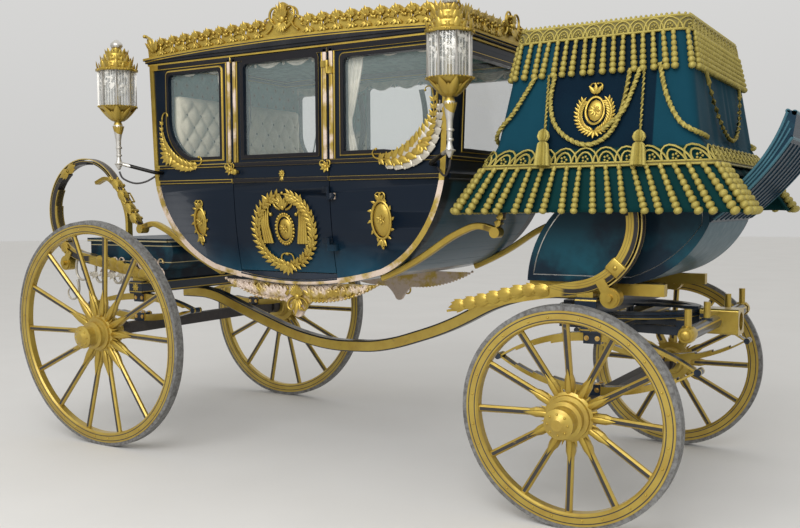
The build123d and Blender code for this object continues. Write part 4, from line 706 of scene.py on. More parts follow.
def end_finish(centre, normal):
    """Which finish a face of an end panel has."""
    outward = normal.x * (1 if centre.x > BODY_X else -1)
    if outward < -0.6:
        return QUILT
    proud = abs(centre.x - BODY_X) - half_length(centre.z)
    if centre.z > BELT_Z - 0.05 and proud > 0.002:
        return FRAME if abs(centre.y) < (0.51 if centre.z > BELT_Z + 0.075 else 0.585) else GILT
    if centre.z < BELT_Z - 0.05 and abs(centre.y) > half_width(centre.z) - 0.031 and outward > 0.1:
        return PEARLED
    return COACH


FINISH_CUTS = [
    # where one finish gives way to another: a point and the direction across the cut
    ((0, 0, BELT_Z + 0.075), (0, 0, 1)),
    ((0, 0, BELT_Z - 0.060), (0, 0, 1)),
    ((BODY_X - FRAME_HALF, 0, 0), (1, 0, 0)),
    ((BODY_X + FRAME_HALF, 0, 0), (1, 0, 0)),
]


def welded(node):
    """A node's own shape with its doubled vertices merged."""
    shape = bmesh.new()
    shape.from_mesh(nodes[node].data)
    bmesh.ops.remove_doubles(shape, verts=shape.verts, dist=1e-5)
    shape.normal_update()
    return shape


def soften(shape, indices, offset, segments, material, first=None):
    """Bevel the sharp edges between faces of some finishes, those on one of them if it is given."""
    edges = [
        edge for edge in shape.edges
        if edge.is_manifold and edge.is_convex and edge.calc_face_angle() > radians(60)
        and all(face.material_index in indices for face in edge.link_faces)
        and first in (None, edge.link_faces[0].material_index)
    ]
    bmesh.ops.bevel(
        shape, geom=edges, affect="EDGES", offset=offset, segments=segments, profile=0.5,
        material=material, clamp_overlap=True,
    )


for node, body in PANEL_NODES.items():
    shape = welded(node)
    for point, across in FINISH_CUTS:
        geometry = shape.verts[:] + shape.edges[:] + shape.faces[:]
        bmesh.ops.bisect_plane(shape, geom=geometry, dist=1e-6, plane_co=point, plane_no=across)
    shape.normal_update()
    finish_of = end_finish if node in END_PANELS else side_finish
    for face in shape.faces:
        face.material_index = finish_of(face.calc_center_median(), face.normal)
    bmesh.ops.dissolve_limit(
        shape, angle_limit=radians(1), verts=shape.verts, edges=shape.edges, delimit={"MATERIAL"},
    )
    shape.normal_update()
    soften(shape, (GILT, FRAME, PEARLED), 0.0045, 2, GILT, first=FRAME)
    soften(shape, (GILT, PEARLED), 0.0035, 3, -1)
    finishes = [coach_paint, plain_gilt, quilted, frame_black, pearl]
    panel = piece(node + "_coachwork", shape, finishes, body, 30)
    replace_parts(panel, node)
dress("body_floor", lined_finish("lined_underside", lambda finish: finish.band(
    abs(finish.spot()[1]), 0.55, 0.556, 0.001)))

# Applied ornament of the body sides: carved limewood, gilded and pinned on the panels.
# A laurel wreath round a plain oval stands on each door, a small cartouche on each
# quarter, and acanthus sprays fill the lower corners of the end windows.
LAUREL = leaf(0.20, 0.12, point=0.85, segments=8, rings=5)


def leaf_at(shape, x, z, angle, length, out=0.006, wide=1.0):
    """A leaf on the side's flat plane, with its root at a point and its tip at an angle."""
    tip = Vector((cos(radians(angle)), sin(radians(angle)), 0.25)) * length
    root = Vector((x, z, out))
    stamp(shape, LAUREL, toward(root, root + tip, (0, 0, 1)) @ Matrix.Diagonal((wide, 1, 1, 1)))


def fan(shape, x, z, middle, tilts, length, out=0.006, wide=1.0, shrink=0.0):
    """Leaves from one root, tilted off a middle angle and shorter the more they are tilted."""
    for tilt in tilts:
        leaf_at(shape, x, z, middle + tilt, length - abs(tilt) * shrink, out, wide)


def boss_at(shape, x, z, radius, out=0.004, tall=0.7, wide=1.0):
    stamp(shape, BEAD, at((x, z, out), (radius * wide, radius, radius * tall)))


def flower(shape, x, z, petals, length, out, wide, boss, boss_out, first=0):
    """A round of leaves with a boss at its middle."""
    fan(shape, x, z, first, [360 / petals * petal for petal in range(petals)], length, out, wide)
    boss_at(shape, x, z, boss, boss_out)


def edges_at(verts):
    """The edges at some vertices, each once, in an order that is the same in each run."""
    return list(dict.fromkeys(edge for vert in verts for edge in vert.link_edges))


def grow(shape, edges):
    """Draw a ring of edges out into a new one; gives its vertices and its edges."""
    grown = bmesh.ops.extrude_edge_only(shape, edges=edges)["geom"]
    ring = [item for item in grown if isinstance(item, bmesh.types.BMVert)]
    new = set(ring)
    return ring, [edge for edge in edges_at(ring) if new.issuperset(edge.verts)]


def tube(points, radii, sides=6, lobes=0, twist=0.0, closed=False, squash=1.0):
    """A tube along points, closed at its ends; with lobes and a twist it is a rope, and
    squashed it is a strap or a flat moulding."""
    shape = bmesh.new()
    ring = bmesh.ops.create_circle(shape, segments=sides, radius=1.0)["verts"]
    for vert in ring:
        if lobes:
            vert.co *= 0.86 + 0.14 * cos(lobes * atan2(vert.co.y, vert.co.x))
    first = edges = edges_at(ring)
    last_place = Matrix()
    last_side = Vector((0.13, 0.21, 0.97))
    travelled = 0.0
    for index, point in enumerate(points):
        before = points[index - 1] if index or closed else point
        after = points[(index + 1) % len(points)] if index + 1 < len(points) or closed else point
        z = (Vector(after) - Vector(before)).normalized()
        x = last_side.cross(z).normalized()
        last_side = z.cross(x)
        travelled += (Vector(point) - Vector(before)).length if index else 0.0
        place = Matrix.Translation(point) @ axes(x, last_side, z) @ spun(travelled * twist)
        place = place @ Matrix.Diagonal((radii[index], radii[index] * squash, 1, 1))
        if index:
            ring, edges = grow(shape, edges)
        bmesh.ops.transform(shape, matrix=place @ last_place.inverted(), verts=ring)
        last_place = place
    if closed:
        bmesh.ops.bridge_loops(shape, edges=first + edges)
    else:
        bmesh.ops.edgeloop_fill(shape, edges=first)
        bmesh.ops.edgeloop_fill(shape, edges=edges)
    bmesh.ops.recalc_face_normals(shape, faces=shape.faces)
    return mesh_of(shape)


def lay(shape, points, radius, finish_index=None, **kind):
    """Lay a tube along points, of one radius or of one for each."""
    radii = [radius] * len(points) if isinstance(radius, float) else radius
    stamp(shape, tube(points, radii, **kind), finish_index=finish_index)


def scroll(shape, x, z, angle, length, bends, thick=0.006, out=0.008, steps=14):
    """A carved scroll that starts at an angle in degrees and thins towards its curled eye,
    where a small boss sits. Its bend, in degrees along its whole length, grows evenly."""
    points = [Vector((x, z, out))]
    for count in range(steps):
        share = (count + 0.5) / steps
        angle += (bends[0] + (bends[1] - bends[0]) * share) / steps
        points.append(points[-1] + Vector((cos(radians(angle)), sin(radians(angle)), 0)) * length / steps)
    lay(shape, points, [thick * (1.0 - 0.5 * count / steps) for count in range(steps + 1)])
    stamp(shape, BEAD, at(points[-1], thick * 1.25))


def oval(x, z, wide, tall, count, out=0.008):
    """Points of an oval on the side's flat plane."""
    return [Vector((x + wide * cos(angle), z + tall * sin(angle), out)) for angle in angles(count)]


def leafy_stem(shape, x, z, side, wide, tall, start, sweep, count, leaves, out, thick, sides=6, lift=0.0):
    """Half a wreath on one side of a point: a bent stem with leaves at each of its joints,
    each a splay off the stem's line and a length."""
    stem = []
    for step in range(count + 1):
        angle = radians(start + sweep * step / count)
        stem.append(Vector((x + side * wide * cos(angle), z + tall * sin(angle), 0.006)))
    lay(shape, stem, thick, sides=sides)
    for step, point in enumerate(stem):
        for splay, size in leaves:
            angle = start + sweep * step / count + 90 + splay
            raised = out + lift * (step % 2)
            leaf_at(shape, point.x, point.y, angle if side > 0 else 180 - angle, size, raised, 1.3)
    return stem


def settle(shape, middle_x=BODY_X, reach=half_width):
    """Bend a flat ornament on to a right side, whose distance from the middle has a rule."""
    for vert in shape.verts:
        x, z, out = vert.co
        vert.co = Vector((middle_x + x, -(reach(z) + out), z))


def side_ornament(name, shape, bodies=("carriage", "carriage"), finishes=(gilt,), crease=60):
    """Fix an ornament on the right side and its mirror image on the left one."""
    settle(shape)
    mesh = mesh_of(shape)
    for side, body, turn in (("right", bodies[0], Matrix()), ("left", bodies[1], MIRROR)):
        copy = bmesh.new()
        stamp(copy, mesh, turn)
        piece(f"{side}_{name}", copy, finishes, body, crease=crease)


DOORS = ("right_door_leaf", "left_door_leaf")
WREATH_X, WREATH_Z = -0.030, BASE_Z + 0.305
OVAL_Z = WREATH_Z + 0.010
wreath = bmesh.new()
for side in (-1, 1):
    leaves = ((0, 0.050), (42, 0.056), (-42, 0.050), (75, 0.040))
    bend = (0.196, 0.198, -84, 158, 18)
    stem = leafy_stem(wreath, WREATH_X, WREATH_Z, side, *bend, leaves, 0.005, 0.0045, lift=0.004)
    for point in stem[1::3]:
        boss_at(wreath, point.x + side * 0.012, point.y, 0.008, out=0.012, tall=1.0)
    # mantling: fluted drops at the sides of the oval, hung from the scrolled top
    for flute in range(4):
        x = WREATH_X + side * (0.112 + 0.013 * flute)
        foot_x = WREATH_X + side * (0.092 + 0.017 * flute)
        line = [(x, WREATH_Z + 0.112, 0.008), (x, WREATH_Z + 0.03, 0.013), (foot_x, WREATH_Z - 0.070, 0.010)]
        lay(wreath, line, [0.004, 0.009, 0.010])
    for x, z, angle, length, start_bend, end_bend, thick in (
        (0.004, 0.128, -38, 0.17, -60, -330, 0.009), (0.020, 0.118, -80, 0.13, 60, 330, 0.007),
        (0.010, -0.205, -60, 0.12, 40, 300, 0.007),
    ):
        bends = (side * start_bend, side * end_bend)
        scroll(wreath, WREATH_X + side * x, WREATH_Z + z, 90 + side * angle, length, bends, thick)
    leaf_at(wreath, WREATH_X + side * 0.100, WREATH_Z + 0.150, 90 - side * 36, 0.062, wide=1.4)
for x, z, out in oval(WREATH_X, OVAL_Z, 0.062, 0.084, 26):
    boss_at(wreath, x, z, 0.0085, out=0.006)
lay(wreath, oval(WREATH_X, OVAL_Z, 0.052, 0.072, 30), 0.0055, closed=True)
boss_at(wreath, WREATH_X, OVAL_Z, 0.060, out=0.001, tall=0.16, wide=0.72)
flower(wreath, WREATH_X, OVAL_Z, 8, 0.030, 0.011, 1.6, 0.010, 0.016)
fan(wreath, WREATH_X, WREATH_Z + 0.125, 90, range(-50, 51, 25), 0.075, 0.012, 1.2, 0.0004)
fan(wreath, WREATH_X, WREATH_Z - 0.185, 270, range(-60, 61, 30), 0.066, 0.010, 1.5)
for z, radius, out in ((0.128, 0.014, 0.014), (0.208, 0.010, 0.012), (-0.185, 0.016, 0.014)):
    boss_at(wreath, WREATH_X, WREATH_Z + z, radius, out)
side_ornament("door_wreath", wreath, DOORS)

belt_rosette = bmesh.new()
flower(belt_rosette, WREATH_X, BELT_Z - 0.004, 8, 0.022, 0.003, 1.8, 0.007, 0.008)
fan(belt_rosette, WREATH_X, BELT_Z - 0.016, 270, (-22, 0, 22), 0.030, 0.004)
side_ornament("belt_rosette", belt_rosette, DOORS)

cartouches = bmesh.new()
for x, z, tall, wide in ((-0.652, BASE_Z + 0.352, 0.082, 0.042), (0.607, BASE_Z + 0.366, 0.098, 0.058)):
    lay(cartouches, oval(x, z, wide, tall, 24), 0.007, closed=True)
    boss_at(cartouches, x, z, tall * 0.92, out=0.001, tall=0.12, wide=wide / tall)
    for turn, point in enumerate(oval(x, z, wide, tall, 12)):
        leaf_at(cartouches, point.x, point.y, 30 * turn + 35, 0.030, wide=1.5)
    flower(cartouches, x, z, 6, 0.030, 0.010, 1.5, 0.009, 0.014, first=30)
    for side in (-1, 1):
        root = x + side * 0.006
        scroll(cartouches, root, z + tall, 90 - side * 70, 0.075, (side * 60, side * 340), 0.006)
        scroll(cartouches, root, z - tall, 270 + side * 50, 0.060, (-side * 60, -side * 300), 0.005)
    fan(cartouches, x, z + tall + 0.004, 90, (-40, 0, 40), 0.040, 0.010, 1.4)
    fan(cartouches, x, z - tall - 0.002, 270, (-40, 0, 40), 0.046, 0.008, 1.4)
    boss_at(cartouches, x, z - tall - 0.048, 0.008, out=0.008)
side_ornament("quarter_cartouches", cartouches)


def spray(shape, points, size, out=0.008, splay=38, wide=1.5):
    """Acanthus along a line of points: leaves on both sides of a stem, larger at its middle."""
    radii = [0.007 - 0.004 * step / len(points) for step in range(len(points))]
    lay(shape, [(*point, out) for point in points], radii)
    for step, ((x, z), (next_x, next_z)) in enumerate(zip(points, points[1:])):
        heading = atan2(next_z - z, next_x - x) * 180 / pi
        grown = size * (0.55 + 0.9 * sin(pi * min(step / (len(points) - 1) + 0.15, 1.0)) ** 1.5)
        fan(shape, x, z, heading, (-splay, splay), grown, out, wide)
        fan(shape, x, z, heading, (-splay * 1.9, splay * 1.9), grown * 0.7, out, wide)


def bow(x, z, wide, tall, start, sweep, count):
    """Points of a part of an oval, from an angle through a sweep, in degrees."""
    turns = [radians(start + sweep * step / (count - 1)) for step in range(count)]
    return [(x + wide * cos(turn), z + tall * sin(turn)) for turn in turns]


corner_sprays = bmesh.new()
for side, size, line in (
    (1, 0.058, bow(0.655, BELT_Z + 0.315, 0.275, 0.262, -100, 112, 15)),
    (-1, 0.046, bow(-0.700, BELT_Z + 0.290, -0.232, 0.238, -100, 112, 15)),
):
    spray(corner_sprays, line, size)
    fan(corner_sprays, *line[7], 90 - side * 135, (-57.6, -28.8, 0, 28.8, 57.6), 0.066, 0.012, 1.5)
    boss_at(corner_sprays, *line[7], 0.014, out=0.016)
    scroll(corner_sprays, *line[0], 90 + side * 90, 0.090, (-side * 40, -side * 320), 0.006)
    scroll(corner_sprays, *line[-1], 90, 0.080, (side * 40, side * 320), 0.005)
side_ornament("corner_sprays", corner_sprays)
pearl_sprays = bmesh.new()
outer_line = bow(0.664, BELT_Z + 0.315, 0.296, 0.278, -92, 96, 12)
spray(pearl_sprays, outer_line, 0.062, out=0.002, splay=44, wide=2.6)
for x, z in outer_line[1:9:2]:
    boss_at(pearl_sprays, x, z, 0.011, out=0.006)
side_ornament("pearl_sprays", pearl_sprays, finishes=[silver_white])

# Standing pillars between the windows: flat pilaster strips, painted pearl pink and edged
# with gilt beads. Each is pinned beside its door's joint, one half on the quarter.
pillar_table = [
    # from the body's middle, width, which body carries it, finish
    (-0.424, 0.008, "quarter", 0),
    (-0.405, 0.020, "quarter", 1),
    (-0.364, 0.020, "door", 1),
    (-0.345, 0.007, "door", 0),
    (0.246, 0.007, "door", 0),
    (0.264, 0.022, "door", 1),
    (0.305, 0.022, "quarter", 1),
    (0.326, 0.008, "quarter", 0),
]
pillars = {"quarter": bmesh.new(), "door": bmesh.new()}
PILLAR_FOOT, PILLAR_TOP = BELT_Z + 0.066, ROOF_Z - 0.012
for x, width, carrier, finish_index in pillar_table:
    place = at((x, (PILLAR_FOOT + PILLAR_TOP) / 2, 0.003), (width, PILLAR_TOP - PILLAR_FOOT, 0.010))
    stamp(pillars[carrier], block(place, 0.0025, 2), finish_index=finish_index)
for x, carrier in ((-0.401, pillars["quarter"]), (0.268, pillars["door"])):
    flower(carrier, x, BELT_Z + 0.026, 7, 0.034, 0.008, 1.6, 0.012, 0.014)
    for side in (-1, 1):
        bends = (side * 80, side * 320)
        scroll(carrier, x - 0.004 + side * 0.010, BELT_Z + 0.026, 90 - side * 90, 0.060, bends, 0.005, 0.009)
side_ornament("quarter_pillars", pillars["quarter"], finishes=[plain_gilt, pearl], crease=40)
side_ornament("door_pillars", pillars["door"], DOORS, [plain_gilt, pearl], crease=40)

# Sill moulding: the pearl and gilt edge moulding carried on along the floor's side under
# the doors, from one quarter to the other.
sill = bmesh.new()
line = []
for step in range(25):
    x = -0.392 + 0.690 * step / 24
    line.append((x, BASE_Z + 0.080 * (x / 0.590) ** 2 + 0.016, 0.001))
lay(sill, line, 0.0155, sides=12, squash=0.55)
side_ornament("sill_moulding", sill, finishes=[pearl])


# Gilt beads round the window frames: half-round brass strip, bent to each frame's outline,
# gilded and pinned along its hollow edge.
def joined(pairs):
    """Closed lines from loose edges, each given by its two ends."""
    loops = []
    while pairs:
        line = list(pairs.pop())
        grown = True
        while grown:
            grown = False
            for pair in pairs:
                near, far = pair if (pair[0] - line[-1]).length < 1e-5 else pair[::-1]
                if (near - line[-1]).length < 1e-5:
                    line.append(far)
                    pairs.remove(pair)
                    grown = True
                    break
        if (line[0] - line[-1]).length < 1e-5:
            loops.append(line[:-1])
    return loops


def bead_hollow_edges(shape, node, wanted, radius, apart):
    """A half-round bead along a node's hollow edges, where a recess or a raised part meets it,
    leaving out points nearer than a distance."""
    own = welded(node)
    chosen = []
    for edge in own.edges:
        if len(edge.link_faces) == 2 and edge.calc_face_angle(0) > radians(45) and not edge.is_convex:
            if wanted((edge.verts[0].co + edge.verts[1].co) / 2):
                chosen.append([vert.co.copy() for vert in edge.verts])
    own.free()
    for line in joined(chosen):
        kept = [line[0]]
        for point in line[1:]:
            if (point - kept[-1]).length > apart:
                kept.append(point)
        lay(shape, kept, radius, closed=True)


def round_a_frame(middle):
    beside = abs(middle.x - BODY_X) < FRAME_HALF and middle.z > BELT_Z + 0.072
    return beside and abs(abs(middle.y) - half_width(middle.z)) < 0.002


beads = {body: bmesh.new() for body in ("carriage", *DOORS)}
for node, body in PANEL_NODES.items():
    if node not in END_PANELS:
        bead_hollow_edges(beads[body], node, round_a_frame, 0.0065, 0.004)
for body, shape in beads.items():
    piece(f"{body}_window_beads", shape, [plain_gilt], body)

# Cabin: plate glass in the frames, a teal silk headlining, buttoned backs and cushions
# stuffed with horsehair, silk curtains, pelmets over the windows and woven arm slings.
clear_glass = Finish("plate_glass", {
    "Alpha": 0.12, "Roughness": 0.03, "Specular IOR Level": 0.9, "Coat Weight": 0.3,
})
clear_glass.wear({
    "Base Color": clear_glass.blend(clear_glass.grain(3.0, 3.0), (0.44, 0.56, 0.56), (0.60, 0.68, 0.66)),
})
dress("body_glass right_door_glass left_door_glass", clear_glass)
buttoned = silk_finish("buttoned_silk", (0.66, 0.60, 0.46), (0.52, 0.46, 0.33))
button_silk = silk_finish("button_silk", (0.060, 0.065, 0.055), (0.035, 0.040, 0.035))
BUTTON_SPACING = 0.118


def pad(low, high, cuts, round_off=0.026):
    """A block with rounded edges, cut evenly along its three directions."""
    shape = bmesh.new()
    bmesh.ops.create_cube(shape, size=2.0)
    for axis, count in enumerate(cuts):
        edges = [edge for edge in shape.edges if abs((edge.verts[0].co - edge.verts[1].co)[axis]) > 1e-6]
        bmesh.ops.subdivide_edges(shape, edges=edges, cuts=count, use_grid_fill=True)
    middle, half = (Vector(low) + Vector(high)) / 2, (Vector(high) - Vector(low)) / 2
    for vert in shape.verts:
        spot = vert.co * half
        core = [max(round_off - room, min(room - round_off, value)) for value, room in zip(spot, half)]
        core = Vector(core)
        over = spot - core
        vert.co = middle + core + (over.normalized() * round_off if over.length > 1e-7 else over)
    return shape


def tufted(value_a, value_b, spacing):
    """The height of buttoned padding: full in each diamond and drawn in along its edges."""
    first = abs(sin(pi * (value_a + value_b) / spacing))
    second = abs(sin(pi * (value_a - value_b) / spacing))
    return (first * second) ** 0.45


PAD_HALF = HALF_WIDTH - 0.058
SEAT_Z = BASE_Z + 0.405
backs, seats = bmesh.new(), bmesh.new()
for toward_end, top in ((-1, ROOF_Z - 0.180), (1, BASE_Z + 0.705)):
    inner, outer = BODY_X + toward_end * 0.828, BODY_X + toward_end * 0.914
    foot = SEAT_Z + 0.117
    back = pad(
        (min(inner, outer), -PAD_HALF - 0.002, foot), (max(inner, outer), PAD_HALF + 0.002, top),
        (3, 150, int((top - foot) / 0.008)),
    )
    for vert in back.verts:
        if abs(vert.co.x - inner) < 0.030:
            edge_y = min(1.0, (PAD_HALF - abs(vert.co.y)) / 0.05)
            edge_z = min(1.0, min(vert.co.z - foot, top - vert.co.z) / 0.05)
            full = tufted(vert.co.y, vert.co.z * 0.8, BUTTON_SPACING) * max(0.0, min(edge_y, edge_z))
            vert.co.x += toward_end * 0.022 * (1 - full)
    stamp(backs, mesh_of(back))
    for row in range(-30, 60):
        for column in range(-12 + row % 2, 13, 2):
            y, z = column * BUTTON_SPACING / 2, row * BUTTON_SPACING / 2 / 0.8
            if abs(y) < PAD_HALF - 0.04 and foot + 0.04 < z < top - 0.04:
                stamp(backs, BEAD_SMALL, at((inner + toward_end * 0.020, y, z), (0.005, 0.011, 0.011)), 1)
    near, far = sorted((BODY_X + toward_end * 0.469, BODY_X + toward_end * 0.876))
    side_y = PAD_HALF - 0.003
    seat = pad((near, -side_y, SEAT_Z + 0.002), (far, side_y, SEAT_Z + 0.104), (44, 120, 10), 0.034)
    for vert in seat.verts:
        across = 1 - abs(vert.co.y) / PAD_HALF
        along = 1 - abs(vert.co.x - (near + far) / 2) / ((far - near) / 2)
        full = max(0.0, min(1.0, across * 6) * min(1.0, along * 3))
        if vert.co.z > SEAT_Z + 0.060:
            drawn_in = 1 - tufted(vert.co.y, vert.co.x - BODY_X, 0.15)
            vert.co.z += 0.010 * full * (1 - 0.7 * drawn_in) - 0.008 * drawn_in * full
    stamp(seats, mesh_of(seat))
    piped_x, piped_y = (near + 0.010, far - 0.010), side_y - 0.010
    outline = [(piped_x[0], -piped_y), (piped_x[1], -piped_y), (piped_x[1], piped_y), (piped_x[0], piped_y)]
    for height in (0.022, 0.088):
        piping = []
        for start, stop in zip(outline, outline[1:] + outline[:1]):
            for step in range(1, 12):
                piping.append(Vector((*Vector(start).lerp(Vector(stop), step / 12), SEAT_Z + height)))
        lay(seats, piping, 0.005, 1, closed=True)
BACKREST = piece("buttoned_backs", backs, [buttoned, button_silk], crease=70)
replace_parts(BACKREST, "seat_backrests")
CUSHIONS = piece("seat_pads", seats, [buttoned, teal_silk], crease=70)
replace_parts(CUSHIONS, "seat_cushions")
dress("seat_boxes", teal_silk)

CURTAIN_Y = HALF_WIDTH - 0.056
curtain_silk = silk_finish("curtain_silk", (0.70, 0.66, 0.56), (0.52, 0.49, 0.42), pattern=0.7)


def gathered(name, start, stop, top, foot, folds, depth, tie):
    """A curtain that hangs in folds from a rail between two points of the plan, drawn in
    by a tie at a height. Its flat width is the line along its folds."""
    start, stop = Vector(start), Vector(stop)
    run = stop - start
    normal = Vector((-run.y, run.x)).normalized()
    columns, rows = folds * 8, 14
    shape = bmesh.new()
    bmesh.ops.create_grid(shape, x_segments=columns, y_segments=rows, size=1.0)
    folded = [depth * sin(2 * pi * folds * step / columns) for step in range(columns + 1)]
    line = sum(hypot(run.length / columns, after - before) for before, after in zip(folded, folded[1:]))
    for vert in shape.verts:
        share, height = (vert.co.x + 1) / 2, (vert.co.y + 1) / 2
        z = foot + (top - foot) * height
        pull = 0.42 + 0.58 * min(1.0, abs(z - tie) / (0.55 * (top - foot))) ** 0.8
        swing = depth * sin(2 * pi * folds * share) * (1.0 - 0.3 * height)
        vert.co = Vector((*(start + run * share * pull + normal * swing), z))
    made = piece(name, shape, [curtain_silk], crease=80)
    wall = made.modifiers.new("wall", "SOLIDIFY")
    wall.thickness, wall.offset = 0.0016, 0
    round(top - foot, 3)


curtain_table = [
    # name, plan of its rail from the body's middle, top under the roof, foot and tie, folds, their depth
    ("quarter", (0.335, CURTAIN_Y), (0.470, CURTAIN_Y), 0.030, 0.700, 0.88, 5, 0.010),
    ("rear", (-0.440, CURTAIN_Y), (-0.540, CURTAIN_Y), 0.030, 0.700, 0.88, 4, 0.010),
    ("front", (0.925, 0.485), (0.925, 0.360), 0.040, 0.745, 0.90, 5, 0.009),
]
for side, facing in (("right", -1), ("left", 1)):
    for name, start, stop, drop, foot, tie, folds, depth in curtain_table:
        ends = [(BODY_X + x, facing * y) for x, y in (start, stop)]
        gathered(f"{side}_{name}_curtain", *ends, ROOF_Z - drop, BASE_Z + foot, folds, depth, BASE_Z + tie)

pelmets = bmesh.new()
for swag in range(9):
    x = BODY_X - 0.86 + 0.20 * swag
    for fold in range(4):
        line = []
        for step in range(9):
            droop = sin(pi * step / 8) * (0.006 + 0.013 * fold)
            line.append((x + 0.196 * step / 8, -CURTAIN_Y, ROOF_Z - 0.020 - droop))
        lay(pelmets, line, 0.0095)
    for step in range(3):
        place = at((x, -CURTAIN_Y + 0.004, ROOF_Z - 0.024 - 0.014 * step), (0.010, 0.006, 0.012))
        stamp(pelmets, BEAD_SMALL, place)
piece("silk_pelmets", pelmets, [curtain_silk], crease=70, mirror=True)

slings = bmesh.new()
for x in (BODY_X + 0.150, BODY_X - 0.335):
    line = []
    for step in range(15):
        share = step / 14
        line.append((x + 0.030 * sin(pi * share * 1.3), -CURTAIN_Y + 0.012, ROOF_Z - 0.09 - 0.50 * share))
    lay(slings, line, 0.020, sides=8, squash=0.16)
    stamp(slings, BEAD, at(line[-1], (0.016, 0.012, 0.016)), 1)
piece("arm_slings", slings, [frame_black, plain_gilt], crease=50, mirror=True)

# Roof: leather stretched on boards and japanned black over a cornice with gilt fillets.
# Inside it is lined with teal silk.
CORNICE_HALF, CORNICE_DEEP, CORNICE_RISE = 1.056, 0.045, 0.035
roof_skin = Finish("japanned_roof", {"Coat Weight": 0.1, "Coat Roughness": 0.2, "Specular IOR Level": 0.2})
roof_along, roof_across, roof_up = roof_skin.spot((BODY_X, 0, 0))
facing_up = roof_skin.parts(roof_skin.node("NewGeometry", output="Normal"))[2]
ceiling = 1 - roof_skin.rise(facing_up, -0.5, -0.2)
ceiling = ceiling * (1 - roof_skin.rise(abs(roof_across), HALF_WIDTH - 0.03, HALF_WIDTH - 0.02))
ceiling = ceiling * (1 - roof_skin.rise(abs(roof_along), 0.975, 0.985))
arch = CORNICE_RISE - roof_along * roof_along * (CORNICE_RISE / CORNICE_HALF ** 2)
over = roof_up - arch - ROOF_Z
fillets = roof_skin.band(over, CORNICE_DEEP - 0.012, CORNICE_DEEP + 0.004, 0.001)
fillets = fillets + roof_skin.band(over, CORNICE_DEEP - 0.024, CORNICE_DEEP - 0.019, 0.001)
fillets = fillets + roof_skin.band(roof_up, ROOF_Z - 0.002, ROOF_Z + 0.009, 0.001)
fillets = roof_skin.math("MINIMUM", fillets, 1.0) * (1 - ceiling)
dust = roof_skin.grain(4.0, 6.0, 0.65)
damask = roof_skin.rise(roof_skin.grain(22.0, 2.0), 0.45, 0.56)
dusted = roof_skin.rise(dust, 0.45, 0.75) * 0.5
roof_colour = roof_skin.blend(dusted, (0.010, 0.011, 0.014), (0.05, 0.048, 0.045))
roof_colour = roof_skin.blend(fillets, roof_colour, gold_leaf(roof_skin, carved=False))
roof_skin.wear({
    "Base Color": roof_skin.blend(
        ceiling, roof_colour, roof_skin.blend(damask, (0.16, 0.30, 0.29), (0.09, 0.20, 0.21))),
    "Metallic": fillets * 0.7,
    "Roughness": 0.46 + ceiling * 0.2 + dust * 0.2,
    "Normal": roof_skin.relief(roof_skin.grain(220.0, 2.0), 0.0008, 0.5),
})
dress("roof", roof_skin)

# Roof gallery: pierced limewood rails, carved on both faces with acanthus scrolls and
# gilded. A shell stands at the middle of each rail and a leaf curls off each corner.
dress("roof_gallery", gilt)
CREST_HALF = 0.130
GALLERY_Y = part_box("roof_gallery")[0].y
RAIL_Z = ROOF_Z + CORNICE_DEEP + 0.074
RAIL_SCROLLS = (
    # side of a scallop's middle, distance off it, depth under the edge, length, bend at the
    # eye, thickness, steps
    (-1, 0.034, 0.066, 0.105, 400, 0.0075, 10),
    (1, 0.040, 0.030, 0.080, 380, 0.0060, 8),
)


def rail_carving(half, scallops, rise, crest, horn):
    """Carving on the outer face of a rail, on its own flat plane. The rail's upper edge is
    arched by a rise over the cornice's length."""
    def edge_z(x):
        return RAIL_Z + rise * (1 - (x / CORNICE_HALF) ** 2)

    shape = bmesh.new()
    pitch = (half - 0.060 - CREST_HALF) / scallops
    for side in (-1, 1):
        for count in range(scallops):
            x = side * (CREST_HALF + (count + 0.5) * pitch)
            z = edge_z(x)
            turn = side * (1 if count % 2 else -1)
            for way, off, down, length, eye_bend, thick, steps in RAIL_SCROLLS:
                bends = (turn * 60, turn * eye_bend)
                root, heading = x + way * turn * off, 90 + way * turn * 80
                scroll(shape, root, z - down, heading, length, bends, thick, 0.006, steps)
            fan(shape, x, z - 0.012, 90, range(-62, 63, 31), 0.046, 0.006, 1.7, 0.00022)
            fan(shape, x, z - 0.050, 270, (-70, -35, 35, 70), 0.032, 0.006, 1.7)
            boss_at(shape, x, z - 0.016, 0.009, 0.010, 0.9)
            boss_at(shape, x - side * pitch / 2, z - 0.002, 0.012, 0.002, 1.0)
            boss_at(shape, x - side * pitch / 2, z - 0.024, 0.008, 0.006, 0.9)
        end_x, end_z = side * (half - 0.020), edge_z(half)
        tilts, bends = (-37.5, -12.5, 12.5, 37.5), (0, -side * 130)
        fan(shape, end_x - side * 0.028, end_z - 0.044, 90 - side * 7.5, tilts, 0.078, 0.008, 1.4)
        scroll(shape, end_x - side * 0.012, end_z - 0.020, 90 - side * 18, horn, bends, 0.009, 0.000, 12)
        bends = (side * 20, side * 420), (-side * 30, -side * 400)
        scroll(shape, side * 0.030, edge_z(0) - 0.030, 90 - side * 62, 0.19, bends[0], 0.010, 0.008, 16)
        scroll(shape, side * 0.112, edge_z(0) - 0.052, 90 + side * 70, 0.14, bends[1], 0.008, 0.008, 14)
    crest_z = edge_z(0) + crest * 0.12
    fan(shape, 0, edge_z(0) + crest * 0.20, 90, range(-60, 61, 20), crest * 0.80, 0.010, 1.3, crest * 0.0045)
    fan(shape, 0, edge_z(0) - 0.006, 270, range(-60, 61, 20), 0.055, 0.010, 1.4)
    boss_at(shape, 0, crest_z, 0.022, 0.008, 0.8)
    for point in oval(0, crest_z, 0.030, 0.030, 10):
        boss_at(shape, point.x, point.y, 0.007, 0.008)
    return mesh_of(shape)


